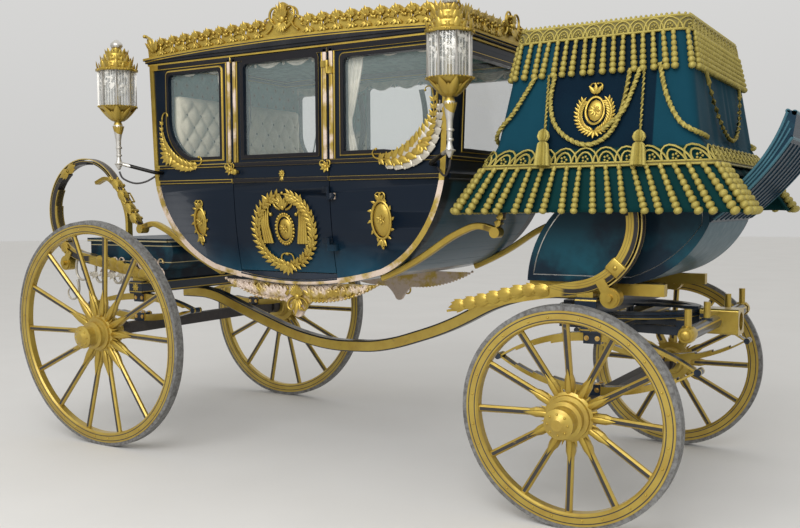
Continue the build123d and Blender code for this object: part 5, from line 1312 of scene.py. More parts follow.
side_rail = rail_carving(CORNICE_HALF - 0.044, 9, CORNICE_RISE, 0.106, 0.110)
carvings = bmesh.new()
for out, y in ((-1, GALLERY_Y), (1, GALLERY_Y + 0.014)):
    turned = Matrix(((-out, 0, 0), (0, 0, out), (0, 1, 0))).to_4x4()
    stamp(carvings, side_rail, Matrix.Translation((BODY_X, y, 0)) @ turned)
piece("side_rail_carving", carvings, mirror=True)
end_rail = rail_carving(-GALLERY_Y - 0.052, 5, 0.0, 0.074, 0.070)
carvings = bmesh.new()
for out in (-1, 1):
    turned = Matrix(((0, 0, out), (out, 0, 0), (0, 1, 0))).to_4x4()
    stamp(carvings, end_rail, Matrix.Translation((BODY_X + out * (CORNICE_HALF - 0.008), 0, 0)) @ turned)
piece("end_rail_carving", carvings)

# Lamps: octagonal coach lamps of gilded brass with plated posts and caps, cut glass panes
# and a wax candle in a holder. Each stands on a plated stem held by an iron bracket.
LAMP_Y, LAMP_WIDE = 0.800, 0.118
LAMP_PLACES = {"rear": BODY_X - 1.145, "front": BODY_X + 1.095}
LAMP_HEIGHTS = [
    # height above the belt in the CAD lamp, and in this one with its shorter lantern
    (-1.0, -1.0), (0.110, 0.110), (0.235, 0.300), (0.310, 0.375),
    (0.350, 0.415), (0.650, 0.620), (0.805, 0.805), (2.0, 2.0),
]


def lamp_fitted(shape):
    """Move a lamp's vertices up or down to the heights of its shorter lantern."""
    for vert in shape.verts:
        height = vert.co.z - BELT_Z
        for (low, new_low), (high, new_high) in zip(LAMP_HEIGHTS, LAMP_HEIGHTS[1:]):
            if low <= height < high:
                vert.co.z = BELT_Z + new_low + (height - low) / (high - low) * (new_high - new_low)
                break


silver = Finish("silver_plate", {"Metallic": 0.9, "Coat Weight": 0.2})
silver.mottle(silver.grain(26.0, 5.0, 0.6), (0.74, 0.72, 0.68), (0.42, 0.40, 0.36), 0.22, 0.25)
lamp_metal = Finish("lamp_metal", {"Metallic": 0.85, "Coat Weight": 0.15})
lamp_y, lamp_z = lamp_metal.spot()[1:]
plated = 1 - lamp_metal.rise(lamp_z, BELT_Z + 0.302, BELT_Z + 0.308)
plated = plated + lamp_metal.band(lamp_z, BELT_Z + 0.416, BELT_Z + 0.619, 0.001)
plated = plated + lamp_metal.rise(lamp_z, BELT_Z + 0.758, BELT_Z + 0.762)
lamp_bloom = lamp_metal.grain(30.0, 5.0, 0.6)
arm = lamp_metal.rise(LAMP_Y - 0.018 - abs(lamp_y), 0.0, 0.003)
arm = arm * (1 - lamp_metal.rise(lamp_z, BELT_Z + 0.103, BELT_Z + 0.106))
plate_colour = lamp_metal.blend(lamp_bloom, (0.74, 0.72, 0.68), (0.46, 0.44, 0.40))
plate_colour = lamp_metal.blend(arm, plate_colour, (0.012, 0.011, 0.010))
lamp_metal.wear({
    "Base Color": lamp_metal.blend(plated, gold_leaf(lamp_metal), plate_colour),
    "Roughness": 0.26 + lamp_bloom * 0.25,
})
cut_glass = Finish("cut_glass", {"Roughness": 0.08, "Specular IOR Level": 0.9, "Coat Weight": 0.5})
glass_x, glass_y, glass_z = cut_glass.spot()
flutes = cut_glass.math("SINE", (glass_x * 1.0 + glass_y * 0.7) * 330.0) * 0.5 + 0.5
floral = cut_glass.rise(cut_glass.grain(44.0, 3.0, 0.6), 0.50, 0.58)
upper_zone = cut_glass.rise(glass_z, BELT_Z + 0.47, BELT_Z + 0.52)
etched = cut_glass.math("MINIMUM", floral * upper_zone + cut_glass.rise(flutes, 0.55, 0.85) * 0.6, 1.0)
cut_glass.wear({
    "Base Color": cut_glass.blend(etched, (0.50, 0.52, 0.50), (0.80, 0.78, 0.72)),
    "Alpha": 0.20 + etched * 0.55,
    "Normal": cut_glass.relief(etched, 0.002, 0.8),
})
for node, finish, slot in (
    ("front_lamps", lamp_metal, "lamp_metal"), ("rear_lamps", lamp_metal, "lamp_metal"),
    ("lamp_glasses", cut_glass, "glass"),
):
    shape = welded(node)
    for face in shape.faces:
        face.material_index = 0
    lamp_fitted(shape)
    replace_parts(piece(f"{node}_fitted", shape, [finish], crease=35), node)
wax = Finish("wax_candle", {"Specular IOR Level": 0.4})
wax.mottle(
    wax.grain(30.0, 3.0), (0.78, 0.70, 0.52), (0.66, 0.56, 0.38), 0.45, 0.15, rough_tone=wax.grain(60.0),
)
ACANTHUS = leaf(0.26, 0.09, point=0.62, segments=8, rings=6)


def through(points, steps=8):
    """A smooth line through points, by the usual cubic between each pair."""
    points = [Vector(point) for point in points]
    line = []
    for p0, p1, p2, p3 in zip(points[:1] + points, points, points[1:], points[2:] + points[-1:]):
        for t in [step / steps for step in range(steps)]:
            bent = (p0 * 2 - p1 * 5 + p2 * 4 - p3) * t ** 2 + (p1 * 3 - p0 - p2 * 3 + p3) * t ** 3
            line.append((p1 * 2 + (p2 - p0) * t + bent) / 2)
    return line + points[-1:]


def lathe(shape, profile, place, finish_index=0):
    """A turned form about z of its place, from radii and heights, closed at both ends."""
    turned = bmesh.new()
    verts = [turned.verts.new((radius, 0, z)) for radius, z in profile]
    edges = [turned.edges.new(pair) for pair in zip(verts, verts[1:])]
    bmesh.ops.spin(
        turned, geom=verts + edges, cent=(0, 0, 0), axis=(0, 0, 1), angle=2 * pi, steps=24, use_merge=True,
    )
    bmesh.ops.remove_doubles(turned, verts=turned.verts, dist=1e-6)
    bmesh.ops.recalc_face_normals(turned, faces=turned.faces)
    stamp(shape, mesh_of(turned), place, finish_index)


# radii and heights above the belt
cap = [
    (0, 0.766), (0.030, 0.767), (0.037, 0.776), (0.034, 0.788), (0.020, 0.799), (0.010, 0.806), (0, 0.810),
]
holder = [(0, 0.354), (0.034, 0.354), (0.030, 0.362), (0.018, 0.372), (0.018, 0.440), (0, 0.440)]
candle = [(0, 0.440), (0.013, 0.440), (0.013, 0.548), (0.009, 0.554), (0, 0.554)]
GILDED, PLATED, WAXEN, FORGED = 0, 1, 2, 3
LAMP_TURNINGS = [(PLATED, cap), (GILDED, holder), (WAXEN, candle)]
for z, radius in ((0.120, 0.015), (0.150, 0.017), (0.074, 0.025)):
    knop = [(0, z - 0.006), (radius, z - 0.004), (radius + 0.003, z), (radius, z + 0.004), (0, z + 0.006)]
    LAMP_TURNINGS.append((PLATED, knop))
LEAF_TIERS = (
    # radius, height of the root and of the tip
    (0.115, 0.656, 0.700), (0.092, 0.690, 0.730), (0.064, 0.728, 0.762),
)


def lamp_trim(x):
    """The leaves, beads, turnings and candle of a lamp."""
    shape = bmesh.new()
    centre = Matrix.Translation((x, -LAMP_Y, BELT_Z))
    for count, angle in enumerate(angles(16)):
        turn = centre @ spun(angle)
        long = count % 2 == 0
        tip = (0.110, 0, 0.345) if long else (0.085, 0, 0.318)
        stamp(shape, ACANTHUS, turn @ toward((0.026, 0, 0.262), tip, (0.6, 0, -0.8)))
        stamp(shape, ACANTHUS, turn @ toward((0.013, 0, 0.196), (0.034, 0, 0.236), (0.9, 0, -0.4)))
        for tier_radius, root_z, tip_z in LEAF_TIERS:
            radius = tier_radius * (1 if long else 0.93)
            tip = (radius + 0.004, 0, root_z + (tip_z - root_z) * (1.0 if long else 0.7))
            place = turn @ toward((radius - 0.006, 0, root_z), tip, (1, 0, 0))
            stamp(shape, ACANTHUS, place @ Matrix.Diagonal((1.5, 1.5, 1, 1)))
    half_side = pi / 8
    for angle in angles(40):
        off_middle = (angle + half_side) % (2 * half_side) - half_side
        radius = (LAMP_WIDE - 0.001) * cos(half_side) / cos(off_middle)
        for z in (0.347, 0.655):
            stamp(shape, BEAD_SMALL, centre @ at((radius * cos(angle), radius * sin(angle), z), 0.0058))
    for finish_index, profile in LAMP_TURNINGS:
        lathe(shape, profile, centre, finish_index)
    return shape


for end, x in LAMP_PLACES.items():
    shape = lamp_trim(x)
    inward = 1 if end == "rear" else -1
    bracket = [
        # inward from the lamp, out from the middle, height above the belt
        (0, LAMP_Y, 0.030), (0.015, LAMP_Y - 0.014, -0.012), (0.060, LAMP_Y - 0.062, -0.040),
        (0.105, LAMP_Y - 0.110, -0.030), (0.150, HALF_WIDTH + 0.002, 0.004),
    ]
    lay(shape, through([(x + inward * off, -y, BELT_Z + z) for off, y, z in bracket]), 0.0055, FORGED)
    lamp_fitted(shape)
    finishes = [gilt, silver, wax, iron]
    piece(f"{end}_lamp_trim", shape, finishes, crease=50, mirror=True)

# Aprons under the sills: limewood fretted like lace, painted pearl and touched with gold,
# with a gilt shell and a drop at the middle of each.
APRON_Y = HALF_WIDTH - 0.090
dress("side_aprons", pearl)


def arc_through(first, middle, last, steps):
    """Points of the arc through three points of a plane."""
    (ax, ay), (bx, by), (cx, cy) = first, middle, last
    d = 2 * (ax * (by - cy) + bx * (cy - ay) + cx * (ay - by))
    a, b, c = ax * ax + ay * ay, bx * bx + by * by, cx * cx + cy * cy
    ox = (a * (by - cy) + b * (cy - ay) + c * (ay - by)) / d
    oy = (a * (cx - bx) + b * (ax - cx) + c * (bx - ax)) / d
    radius = hypot(ax - ox, ay - oy)
    start, via, stop = [atan2(y - oy, x - ox) for x, y in (first, middle, last)]
    sweep = (stop - start) % (2 * pi)
    if (via - start) % (2 * pi) > sweep:
        sweep -= 2 * pi
    turns = [start + sweep * step / steps for step in range(steps + 1)]
    return [(ox + radius * cos(turn), oy + radius * sin(turn)) for turn in turns]


apron = bmesh.new()
for count, (x, low) in enumerate(arc_through((0.530, 0.017), (0.325, -0.065), (0.095, -0.090), 18)):
    height = 0.017 - low
    z = BASE_Z + low
    for side in (-1, 1):
        boss_at(apron, side * x, z + 0.003, 0.0085, 0.0, 1.3)
        if count % 2 == 0 and height > 0.012:
            turn = side * (1 if count % 4 else -1)
            bends = (turn * 40, turn * 400)
            size = min(0.13, height * 1.25)
            scroll(apron, side * x, z + height * 0.18, 90 - turn * 50, size, bends, 0.006, 0.004, 10)
            fan(apron, side * x, z + height * 0.20, 90, range(-48, 49, 32), height * 0.62, 0.005, 1.3)
        elif height > 0.02:
            flower(apron, side * x, z + height * 0.55, 6, 0.020, 0.006, 1.8, 0.007, 0.009)
SHELL_Z = BASE_Z - 0.066
fan(apron, 0, SHELL_Z + 0.006, 90, range(-75, 76, 15), 0.070, 0.008, 1.0, 0.0002)
fan(apron, 0, SHELL_Z - 0.009, 270, range(-50, 51, 25), 0.100, 0.008, 1.1, 0.0009)
boss_at(apron, 0, SHELL_Z, 0.019, out=0.012)
for side in (-1, 1):
    bends = (-side * 40, -side * 380)
    scroll(apron, side * 0.020, SHELL_Z - 0.004, 90 - side * 100, 0.130, bends, 0.009)
for face in apron.faces:
    if abs(face.calc_center_median().x) < 0.075:
        face.material_index = 1
settle(apron, reach=lambda z: APRON_Y)
piece("apron_carving", apron, [pearl, gilt], mirror=True)

# Braces: layered bridle leather, stitched along both edges, from each winding jack over
# its C-spring to the body loop. A gilt buckle and three keepers hold each billet.
harness = Finish("bridle_leather", {"Coat Weight": 0.25, "Coat Roughness": 0.3})
brace_across = abs(abs(harness.spot()[1]) - SPRING_Y)
hide = harness.grain(130.0, 4.0, 0.6)
harness_colour = harness.blend(hide, (0.022, 0.016, 0.012), (0.060, 0.042, 0.030))
stitch = harness.band(brace_across, 0.0195, 0.0215, 0.0004)
harness_colour = harness.blend(stitch * 0.7, harness_colour, (0.40, 0.33, 0.20))
harness.wear({
    "Base Color": harness.blend(harness.rise(brace_across, 0.0245, 0.0252) * 0.8, harness_colour, GOLD),
    "Roughness": 0.42 + hide * 0.25,
    "Normal": harness.relief(hide, 0.0010, 0.7),
})
dress("rear_braces front_braces", harness)
brace_runs = [
    # end, x and z of the upper and lower end of the straight run's outer face, its outward direction
    ("rear", (REAR_X - 0.2108, 1.6130), (REAR_X - 0.0005, 1.3236), (0.809, 0, 0.588)),
    ("front", (FRONT_X - 0.4344, 1.4753), (FRONT_X - 0.4955, 1.3261), (-0.925, 0, 0.379)),
]
STRAP = 1
for name, top, foot, out in brace_runs:
    shape = bmesh.new()
    top, foot = [Vector((x, -SPRING_Y, z)) for x, z in (top, foot)]
    run, out = foot - top, Vector(out)
    down = run.normalized()
    size = min(1.0, run.length / 0.30)
    turned = toward(top, top + run, out).to_3x3().normalized().to_4x4()

    def strap_at(share, rise, y=0.0):
        return top + run * share + out * rise + Vector((0, y, 0))

    place = Matrix.Translation(strap_at(0.5, 0.0042)) @ turned
    billet = block(place @ Matrix.Diagonal((0.044, 0.007, run.length * 0.90, 1)), 0.002, 2)
    stamp(shape, billet, finish_index=STRAP)
    buckle = []
    for angle in angles(16):
        power = max(abs(cos(angle)), abs(sin(angle)))
        along = down * 0.034 * size * sin(angle) / power
        buckle.append(strap_at(0.42, 0.012, 0.036 * cos(angle) / power) + along)
    lay(shape, buckle, 0.0055, GILDED, closed=True)
    prong = [strap_at(0.42, 0.014), strap_at(0.42, 0.018) - down * 0.036 * size]
    lay(shape, prong, [0.004, 0.003], GILDED)
    for share in (0.14, 0.70, 0.86):
        place = Matrix.Translation(strap_at(share, 0.001)) @ turned
        keeper = block(place @ Matrix.Diagonal((0.066, 0.026, 0.020 * size, 1)), 0.003, 2)
        stamp(shape, keeper, finish_index=GILDED)
        for across in (-0.020, 0.0, 0.020):
            stamp(shape, BEAD_SMALL, at(strap_at(share, 0.0145, across), 0.0045), GILDED)
    for share in (0.0, 0.24, 0.52, 0.74):
        for face, base in ((out, strap_at(share, 0.008)), ((0, -1, 0), strap_at(share, -0.004, -0.030))):
            husk(shape, base, base + down * 0.085 * size, face, 56)
    piece(f"{name}_brace_buckles", shape, [gilt, harness], crease=40, mirror=True)


def rosette(shape, centre, size, side):
    """Eight short leaves and a boss on a face that looks to one side of the carriage."""
    for angle in angles(8):
        place = toward(centre, centre + Vector((cos(angle), 0, sin(angle))) * size, (0, side, 0))
        stamp(shape, LAUREL, place @ Matrix.Diagonal((1.7, 1, 1, 1)))
    stamp(shape, BEAD, at(centre, (0.008, 0.006, 0.008)))


loop_eyes = bmesh.new()
for x in (REAR_X + 0.013, FRONT_X - 0.503):
    for side in (-1, 1):
        rosette(loop_eyes, Vector((x, -SPRING_Y + side * 0.0205, BASE_Z + 0.305)), 0.022, side)
piece("loop_rosettes", loop_eyes, mirror=True)

# Hammercloth: the state cover of the driving seat, blue and green box cloth cut in
# panels, flaring over the boot. Its top edge and its skirt carry gold lace in arches with
# strings of wound bullion, and gold ropes are swagged across its sides.
cloth_low, cloth_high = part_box("hammercloth")
HEM_Z, CROWN_Z = cloth_low.z, cloth_high.z
CLOTH_CORNER = 0.060
CLOTH_LEVELS = [
    # height, rear, front, half width
    (HEM_Z, FRONT_X - 0.690, FRONT_X + 0.695, cloth_high.y),
    (HEM_Z + 0.320, FRONT_X - 0.480, FRONT_X + 0.480, cloth_high.y - 0.040),
    (CROWN_Z, FRONT_X - 0.390, FRONT_X + 0.400, cloth_high.y - 0.143),
]
CLOTH_MIDDLE = FRONT_X + 0.005
SLOT_HALF, SLOT_TOP = 0.455, HEM_Z + 0.172
span_side, span_corner, span_end = 0.840, CLOTH_CORNER * pi / 2, 1.136
around = 2 * (span_side + span_end) + 4 * span_corner
SIDE_SHARE, CORNER_SHARE, END_SHARE = span_side / around, span_corner / around, span_end / around


def cloth_section(z):
    """The rear, the front and the half width of the cloth at a height."""
    low, high = CLOTH_LEVELS[0:2] if z < CLOTH_LEVELS[1][0] else CLOTH_LEVELS[1:3]
    share = (z - low[0]) / (high[0] - low[0])
    return [low[item] + (high[item] - low[item]) * share for item in (1, 2, 3)]


def cloth_place(turn, z, out=0.0):
    """A point of the cloth: how far round it from its right rear corner, its height, and
    how far it stands out. The second result is the outward direction."""
    rear, front, half = cloth_section(z)
    turn %= 1.0
    rear_in, front_in, half_in = rear + CLOTH_CORNER, front - CLOTH_CORNER, half - CLOTH_CORNER
    sides = [
        # start and end of a straight side, the middle of the corner after it
        ((rear_in, -half), (front_in, -half), (front_in, -half_in)),
        ((front, -half_in), (front, half_in), (front_in, half_in)),
        ((front_in, half), (rear_in, half), (rear_in, half_in)),
        ((rear, half_in), (rear, -half_in), (rear_in, -half_in)),
    ]
    for count, (start, end, corner) in enumerate(sides):
        share = (SIDE_SHARE, END_SHARE)[count % 2]
        heading = pi / 2 * (count - 1)
        if turn <= share:
            normal = Vector((cos(heading), sin(heading), 0))
            return Vector((*Vector(start).lerp(Vector(end), turn / share), z)) + normal * out, normal
        turn -= share
        if turn <= CORNER_SHARE:
            heading += pi / 2 * turn / CORNER_SHARE
            normal = Vector((cos(heading), sin(heading), 0))
            return Vector((*corner, z)) + normal * (CLOTH_CORNER + out), normal
        turn -= CORNER_SHARE
    return Vector((rear_in, -half, z)), Vector((0, -1, 0))


def cloth_line(turn_heights, out):
    """Points of the cloth from how far round and how high each is."""
    return [cloth_place(turn, z, out)[0] for turn, z in turn_heights]


def side_turn(ahead, z):
    """How far round the cloth a point of its right side is, from its place ahead of the axle."""
    rear, front, half = cloth_section(z)
    return SIDE_SHARE * (FRONT_X + ahead - rear - CLOTH_CORNER) / (front - rear - 2 * CLOTH_CORNER)


def side_line(points, out):
    """Points of the cloth's right side, each given ahead of the axle and above the hem."""
    return cloth_line([(side_turn(ahead, HEM_Z + rise), HEM_Z + rise) for ahead, rise in points], out)


def cloth_fold(turn, z):
    """How far the cloth falls in between its folds: shallow above, deeper in the skirt."""
    low_share = max(0.0, min(1.0, (HEM_Z + 0.34 - z) / 0.30))
    top_share = max(0.0, min(1.0, (CROWN_Z - z) / 0.12))
    wander = sin(turn * 2 * pi * 5 + 1.3) * 0.35 + sin(turn * 2 * pi * 11 + z * 3) * 0.2
    long_fold = 0.5 - 0.5 * cos(2 * pi * (turn * 21 + wander))
    pleat = 0.5 - 0.5 * cos(2 * pi * (turn * 42 + wander * 0.6))
    return 0.006 * long_fold * top_share + 0.012 * pleat * low_share


CLOTH_COLUMNS = 240


def wrapped(levels, fold=1.0):
    """A skin round the cloth through heights, each with how far it stands out and its spread."""
    shape = bmesh.new()
    order = shape.verts.layers.int.new("order")
    ring = bmesh.ops.create_circle(shape, segments=CLOTH_COLUMNS, radius=1.0)["verts"]
    for count, vert in enumerate(ring):
        vert[order] = count
    edges = edges_at(ring)
    for index, (z, out, spread) in enumerate(levels):
        if index:
            ring, edges = grow(shape, edges)
        for vert in ring:
            turn = vert[order] / CLOTH_COLUMNS
            spot, normal = cloth_place(turn, z)
            spot = Vector((CLOTH_MIDDLE, 0, z)).lerp(spot, spread)
            vert.co = spot + normal * (out - cloth_fold(turn, z) * fold)
    return shape


box_cloth = Finish("box_cloth", {"Sheen Weight": 0.05, "Sheen Roughness": 0.35, "Specular IOR Level": 0.05})
cloth_along, *_, cloth_up = box_cloth.spot()
centre_panel = box_cloth.band(cloth_along, FRONT_X - 0.205, FRONT_X + 0.285, 0.004)
skirt = 1 - box_cloth.rise(cloth_up, HEM_Z + 0.285, HEM_Z + 0.292)
panel_colour = box_cloth.blend(centre_panel, (0.007, 0.052, 0.078), (0.003, 0.006, 0.015))
panel_colour = box_cloth.blend(skirt, panel_colour, (0.004, 0.034, 0.027))
box_cloth.mottle(
    box_cloth.grain(3.0, 5.0, 0.6) * 0.6, panel_colour, (0.004, 0.030, 0.050), 0.72, 0.2, (0.0012, 0.7),
    box_cloth.grain(160.0, 3.0, 0.6),
)
bullion = Finish("wound_bullion", {"Metallic": 0.45})
wind_along, wind_across, wind_up = bullion.spot()
winding = bullion.math("SINE", wind_up * 2600.0 + (wind_along + wind_across) * 500.0) * 0.5 + 0.5
thread_tone = bullion.grain(20.0, 4.0, 0.6)
thread_colour = bullion.blend(thread_tone, (0.50, 0.42, 0.11), (0.28, 0.22, 0.042))
# Dark where the surface is hollow, between the windings and strings: painted shade.
thread_out_of_shade = bullion.rise(bullion.hollow(), 0.42, 0.51)
bullion.wear({
    "Base Color": bullion.blend(thread_out_of_shade, (0.045, 0.034, 0.008), thread_colour),
    "Roughness": 0.42 + thread_tone * 0.2,
    "Normal": bullion.relief(winding, 0.0005, 0.7),
})

WALL_TOP = CROWN_Z - 0.006
levels = [(CROWN_Z - 0.003, 0, share) for share in (0.05, 0.2, 0.4, 0.6, 0.8, 0.92, 0.985)]
levels += [(WALL_TOP + (HEM_Z - WALL_TOP) * count / 32, 0, 1.0) for count in range(33)]
skin = wrapped(levels)
bmesh.ops.edgeloop_fill(
    skin, edges=[edge for edge in skin.edges if edge.is_boundary and edge.verts[0].co.z > CROWN_Z - 0.01],
)
SAG, SAG_HALF_WIDTH, SAG_HALF_LENGTH = 0.020, 0.525, 0.39
for vert in skin.verts:
    if vert.co.z > CROWN_Z - 0.004:
        across = min(1.0, abs(vert.co.y) / SAG_HALF_WIDTH)
        along = min(1.0, abs(vert.co.x - CLOTH_MIDDLE) / SAG_HALF_LENGTH)
        vert.co.z -= SAG * (1 - across ** 2) * (1 - along ** 2)
board_gap = []
for face in skin.faces:
    x, y, z = face.calc_center_median()
    if x > FRONT_X + 0.50 and abs(y) < SLOT_HALF and z < SLOT_TOP:
        board_gap.append(face)
bmesh.ops.delete(skin, geom=board_gap, context="FACES")
bmesh.ops.recalc_face_normals(skin, faces=skin.faces)
skin.normal_update()
top_face = max(skin.faces, key=lambda face: face.calc_center_median().z)
if top_face.normal.z < 0:
    bmesh.ops.reverse_faces(skin, faces=skin.faces)
hammer_skin = piece("hammercloth_skin", skin, [box_cloth])
wall = hammer_skin.modifiers.new("wall", "SOLIDIFY")
wall.thickness, wall.offset = 0.006, -1
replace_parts(hammer_skin, "hammercloth")


def bead_string(beads, mesh_radius):
    """A string of wound beads of length 1 hanging down z from the origin, larger at its foot."""
    shape = bmesh.new()
    drop = bmesh.new()
    bmesh.ops.create_uvsphere(drop, u_segments=8, v_segments=5, radius=1.0)
    drop = mesh_of(drop)
    for count in range(beads):
        wide = mesh_radius * (0.75 + 0.5 * count / (beads - 1))
        stamp(shape, drop, at((0, 0, (count + 0.5) / beads), (wide, wide, 0.60 / beads)))
    return mesh_of(shape)


fringe_table = [
    # name, strings, one string's mesh, height of the top and the foot
    ("upper", 80, bead_string(7, 0.080), CROWN_Z - 0.068, CROWN_Z - 0.243),
    ("lower", 84, bead_string(9, 0.068), HEM_Z + 0.212, HEM_Z - 0.006),
]
for name, strings, mesh, top, foot in fringe_table:
    shape = bmesh.new()
    for count in range(strings):
        turn = (count + 0.5) / strings
        start = cloth_place(turn, top, 0.012)[0]
        end, normal = cloth_place(turn + 0.0015 * sin(count * 2.4), foot, 0.014)
        if name == "upper" or end.x < FRONT_X + 0.45 or abs(end.y) > SLOT_HALF + 0.02:
            stamp(shape, mesh, toward(start, end, normal))
    piece(f"{name}_bullion", shape, [bullion])

lace = bmesh.new()
for arches, foot, top, thick, size in (
    # a row of interlaced arches of gold gimp, with a rosette in each
    (50, CROWN_Z - 0.066, CROWN_Z - 0.008, 0.0042, 0.010),
    (48, HEM_Z + 0.222, HEM_Z + 0.292, 0.0048, 0.012),
):
    for middle in [(count + 0.5) / arches for count in range(arches)]:
        for reach, height in ((0.62, 1.0), (0.36, 0.72)):
            half, tall = reach / arches, (top - foot) * height
            turns = [pi * step / 8 for step in range(9)]
            line = [(middle + cos(turn) * half, foot + tall * sin(turn)) for turn in turns]
            lay(lace, cloth_line(line, 0.010), thick, sides=5)
        spot, normal = cloth_place(middle, foot + (top - foot) * 0.26, 0.010)
        turned = toward(spot, spot + normal, (0, 0, 1))
        for angle in angles(5):
            petal = turned @ Vector((size * cos(angle), size * sin(angle), 0))
            stamp(lace, BEAD_SMALL, at(petal, size * 0.55))
for z, thick in (
    (CROWN_Z - 0.066, 0.0060), (CROWN_Z - 0.004, 0.0060), (HEM_Z + 0.222, 0.0052), (HEM_Z + 0.208, 0.0052),
):
    lay(lace, cloth_line([(count / 200, z) for count in range(200)], 0.008), thick, closed=True)
for spot in cloth_line([(count / 150, CROWN_Z + 0.004) for count in range(150)], 0.004):
    stamp(lace, BEAD_SMALL, at(spot, (0.007, 0.007, 0.009)))
piece("lace_arches", lace, [bullion])
lace_ground = Finish("lace_ground", {"Metallic": 0.3, "Sheen Weight": 0.2})
weave = lace_ground.grain(240.0, 2.0)
lace_ground.mottle(weave, (0.060, 0.055, 0.018), (0.26, 0.21, 0.055), 0.6, 0.2, (0.0012, 0.8))
for name, top, foot in (
    ("upper", CROWN_Z - 0.004, CROWN_Z - 0.070), ("lower", HEM_Z + 0.226, HEM_Z + 0.204),
):
    shape = wrapped([(top, 0.006, 1.0), (foot, 0.007, 1.0)], fold=0.0)
    bmesh.ops.recalc_face_normals(shape, faces=shape.faces)
    band = piece(f"{name}_lace_band", shape, [lace_ground], crease=35)
    wall = band.modifiers.new("wall", "SOLIDIFY")
    wall.thickness, wall.offset = 0.004, 0

ROPE_RADIUS, CORD_RADIUS = 0.0125, 0.0085
ROPE_LAY, CORD_LAY = 0.085, 0.06
ROPE = {"sides": 15, "lobes": 3, "twist": 2 * pi / ROPE_LAY}
CORD = {"sides": 12, "lobes": 3, "twist": 2 * pi / CORD_LAY}
rope_table = [
    # how far ahead of the axle and how high above the lower edge each point is
    [(-0.283, 0.640), (-0.330, 0.560), (-0.400, 0.450), (-0.500, 0.350), (-0.600, 0.322)],
    [(-0.186, 0.640), (-0.200, 0.520), (-0.172, 0.410), (-0.100, 0.338), (-0.005, 0.306), (0.085, 0.345),
     (0.140, 0.450), (0.170, 0.640)],
    [(0.302, 0.655), (0.338, 0.515), (0.398, 0.400), (0.470, 0.343), (0.560, 0.325)],
    [(0.215, 0.640), (0.178, 0.520), (0.140, 0.440), (0.060, 0.372)],
]
tassel_profile = [
    # share of the tassel's length, radius
    (0.0, 0.009), (0.08, 0.024), (0.20, 0.030), (0.30, 0.022), (0.34, 0.014), (0.40, 0.026), (0.60, 0.031),
    (1.0, 0.036),
]
ropes = bmesh.new()
for points in rope_table:
    lay(ropes, side_line(through(points), 0.016), ROPE_RADIUS, **ROPE)
for ahead, knot, tip in ((-0.215, 0.385, 0.215), (0.235, 0.360, 0.205)):
    line = [(ahead, 0.640 + (knot - 0.640) * count / 12) for count in range(13)]
    lay(ropes, side_line(line, 0.020), CORD_RADIUS, **CORD)
    line = [(ahead, knot + (tip - knot) * share) for share, radius in tassel_profile]
    lay(ropes, side_line(line, 0.034), [radius for share, radius in tassel_profile], sides=24, lobes=12)
stamp(ropes, mesh_of(ropes.copy(), "half"), MIRROR)
swag = []
for share in [count / 24 for count in range(25)]:
    turn = SIDE_SHARE + CORNER_SHARE + END_SHARE * (0.14 + 0.72 * share)
    swag.append((turn, HEM_Z + 0.640 - 0.300 * sin(pi * share) ** 0.8))
lay(ropes, cloth_line(swag, 0.016), ROPE_RADIUS, **ROPE)
piece("swag_ropes", ropes, [bullion], crease=50)

medallion = bmesh.new()
MEDAL_X, MEDAL_Z = FRONT_X + 0.016, HEM_Z + 0.462
for side in (-1, 1):
    leaves = [(splay, 0.030) for splay in (0, 48, -48)]
    bend = (0.075, 0.085, -86, 122, 12)
    leafy_stem(medallion, MEDAL_X, MEDAL_Z - 0.012, side, *bend, leaves, 0.007, 0.0035, sides=5)
    bends = (side * 40, side * 330)
    scroll(medallion, MEDAL_X + side * 0.006, MEDAL_Z + 0.082, 90 - side * 70, 0.070, bends, 0.005)
lay(medallion, oval(MEDAL_X, MEDAL_Z, 0.044, 0.062, 28), 0.006, closed=True)
boss_at(medallion, MEDAL_X, MEDAL_Z, 0.050, out=0.002, tall=0.14, wide=0.70)
fan(medallion, MEDAL_X, MEDAL_Z, 0, range(0, 360, 45), 0.028, 0.008, 1.6)
fan(medallion, MEDAL_X, MEDAL_Z + 0.075, 90, (-40, 0, 40), 0.050, 0.010, 1.3)
fan(medallion, MEDAL_X, MEDAL_Z - 0.090, 270, (-40, 0, 40), 0.040, 0.008, 1.3)
settle(medallion, 0, lambda z: cloth_section(z)[2])
piece("cloth_medallions", medallion, mirror=True)

# Boots and footboard: ash lockers panelled and painted blue, the panels edged with a
# plated bead. The footboard is ribbed along its curve, and its upper edge is rolled.
boot_paint = Finish("boot_blue", {"Coat Weight": 0.1, "Coat Roughness": 0.06, "Specular IOR Level": 0.15})
boot_reflection_cloud = boot_paint.grain(2.6, 5.0, 0.6)
boot_y, boot_z = boot_paint.spot()[1:]
# Teal low down on the boots and on their end faces: painted reflection, clouded by noise.
boot_painted_reflection = 1 - boot_paint.rise(boot_z, BASE_Z + 0.10, BASE_Z + 0.55)
boot_painted_reflection = boot_painted_reflection * boot_paint.rise(boot_reflection_cloud, 0.40, 0.66)
boot_painted_reflection = boot_paint.math("MAXIMUM", boot_painted_reflection, (1 - boot_paint.rise(abs(boot_y), 0.425, 0.442)) * 0.8)
boot_paint.mottle(
    boot_painted_reflection * 0.9, (0.004, 0.012, 0.024), (0.008, 0.085, 0.120), 0.30, 0.2,
    rough_tone=boot_paint.grain(20.0, 5.0),
)
boot_paint.wear({"Normal": boot_paint.relief(boot_paint.grain(5.0, 2.0), 0.002, 0.35)})
board_paint = Finish("footboard_blue", {
    "Coat Weight": 0.05, "Coat Roughness": 0.1, "Specular IOR Level": 0.12,
})
board_wear = board_paint.rise(board_paint.grain(12.0, 6.0, 0.7), 0.55, 0.75)
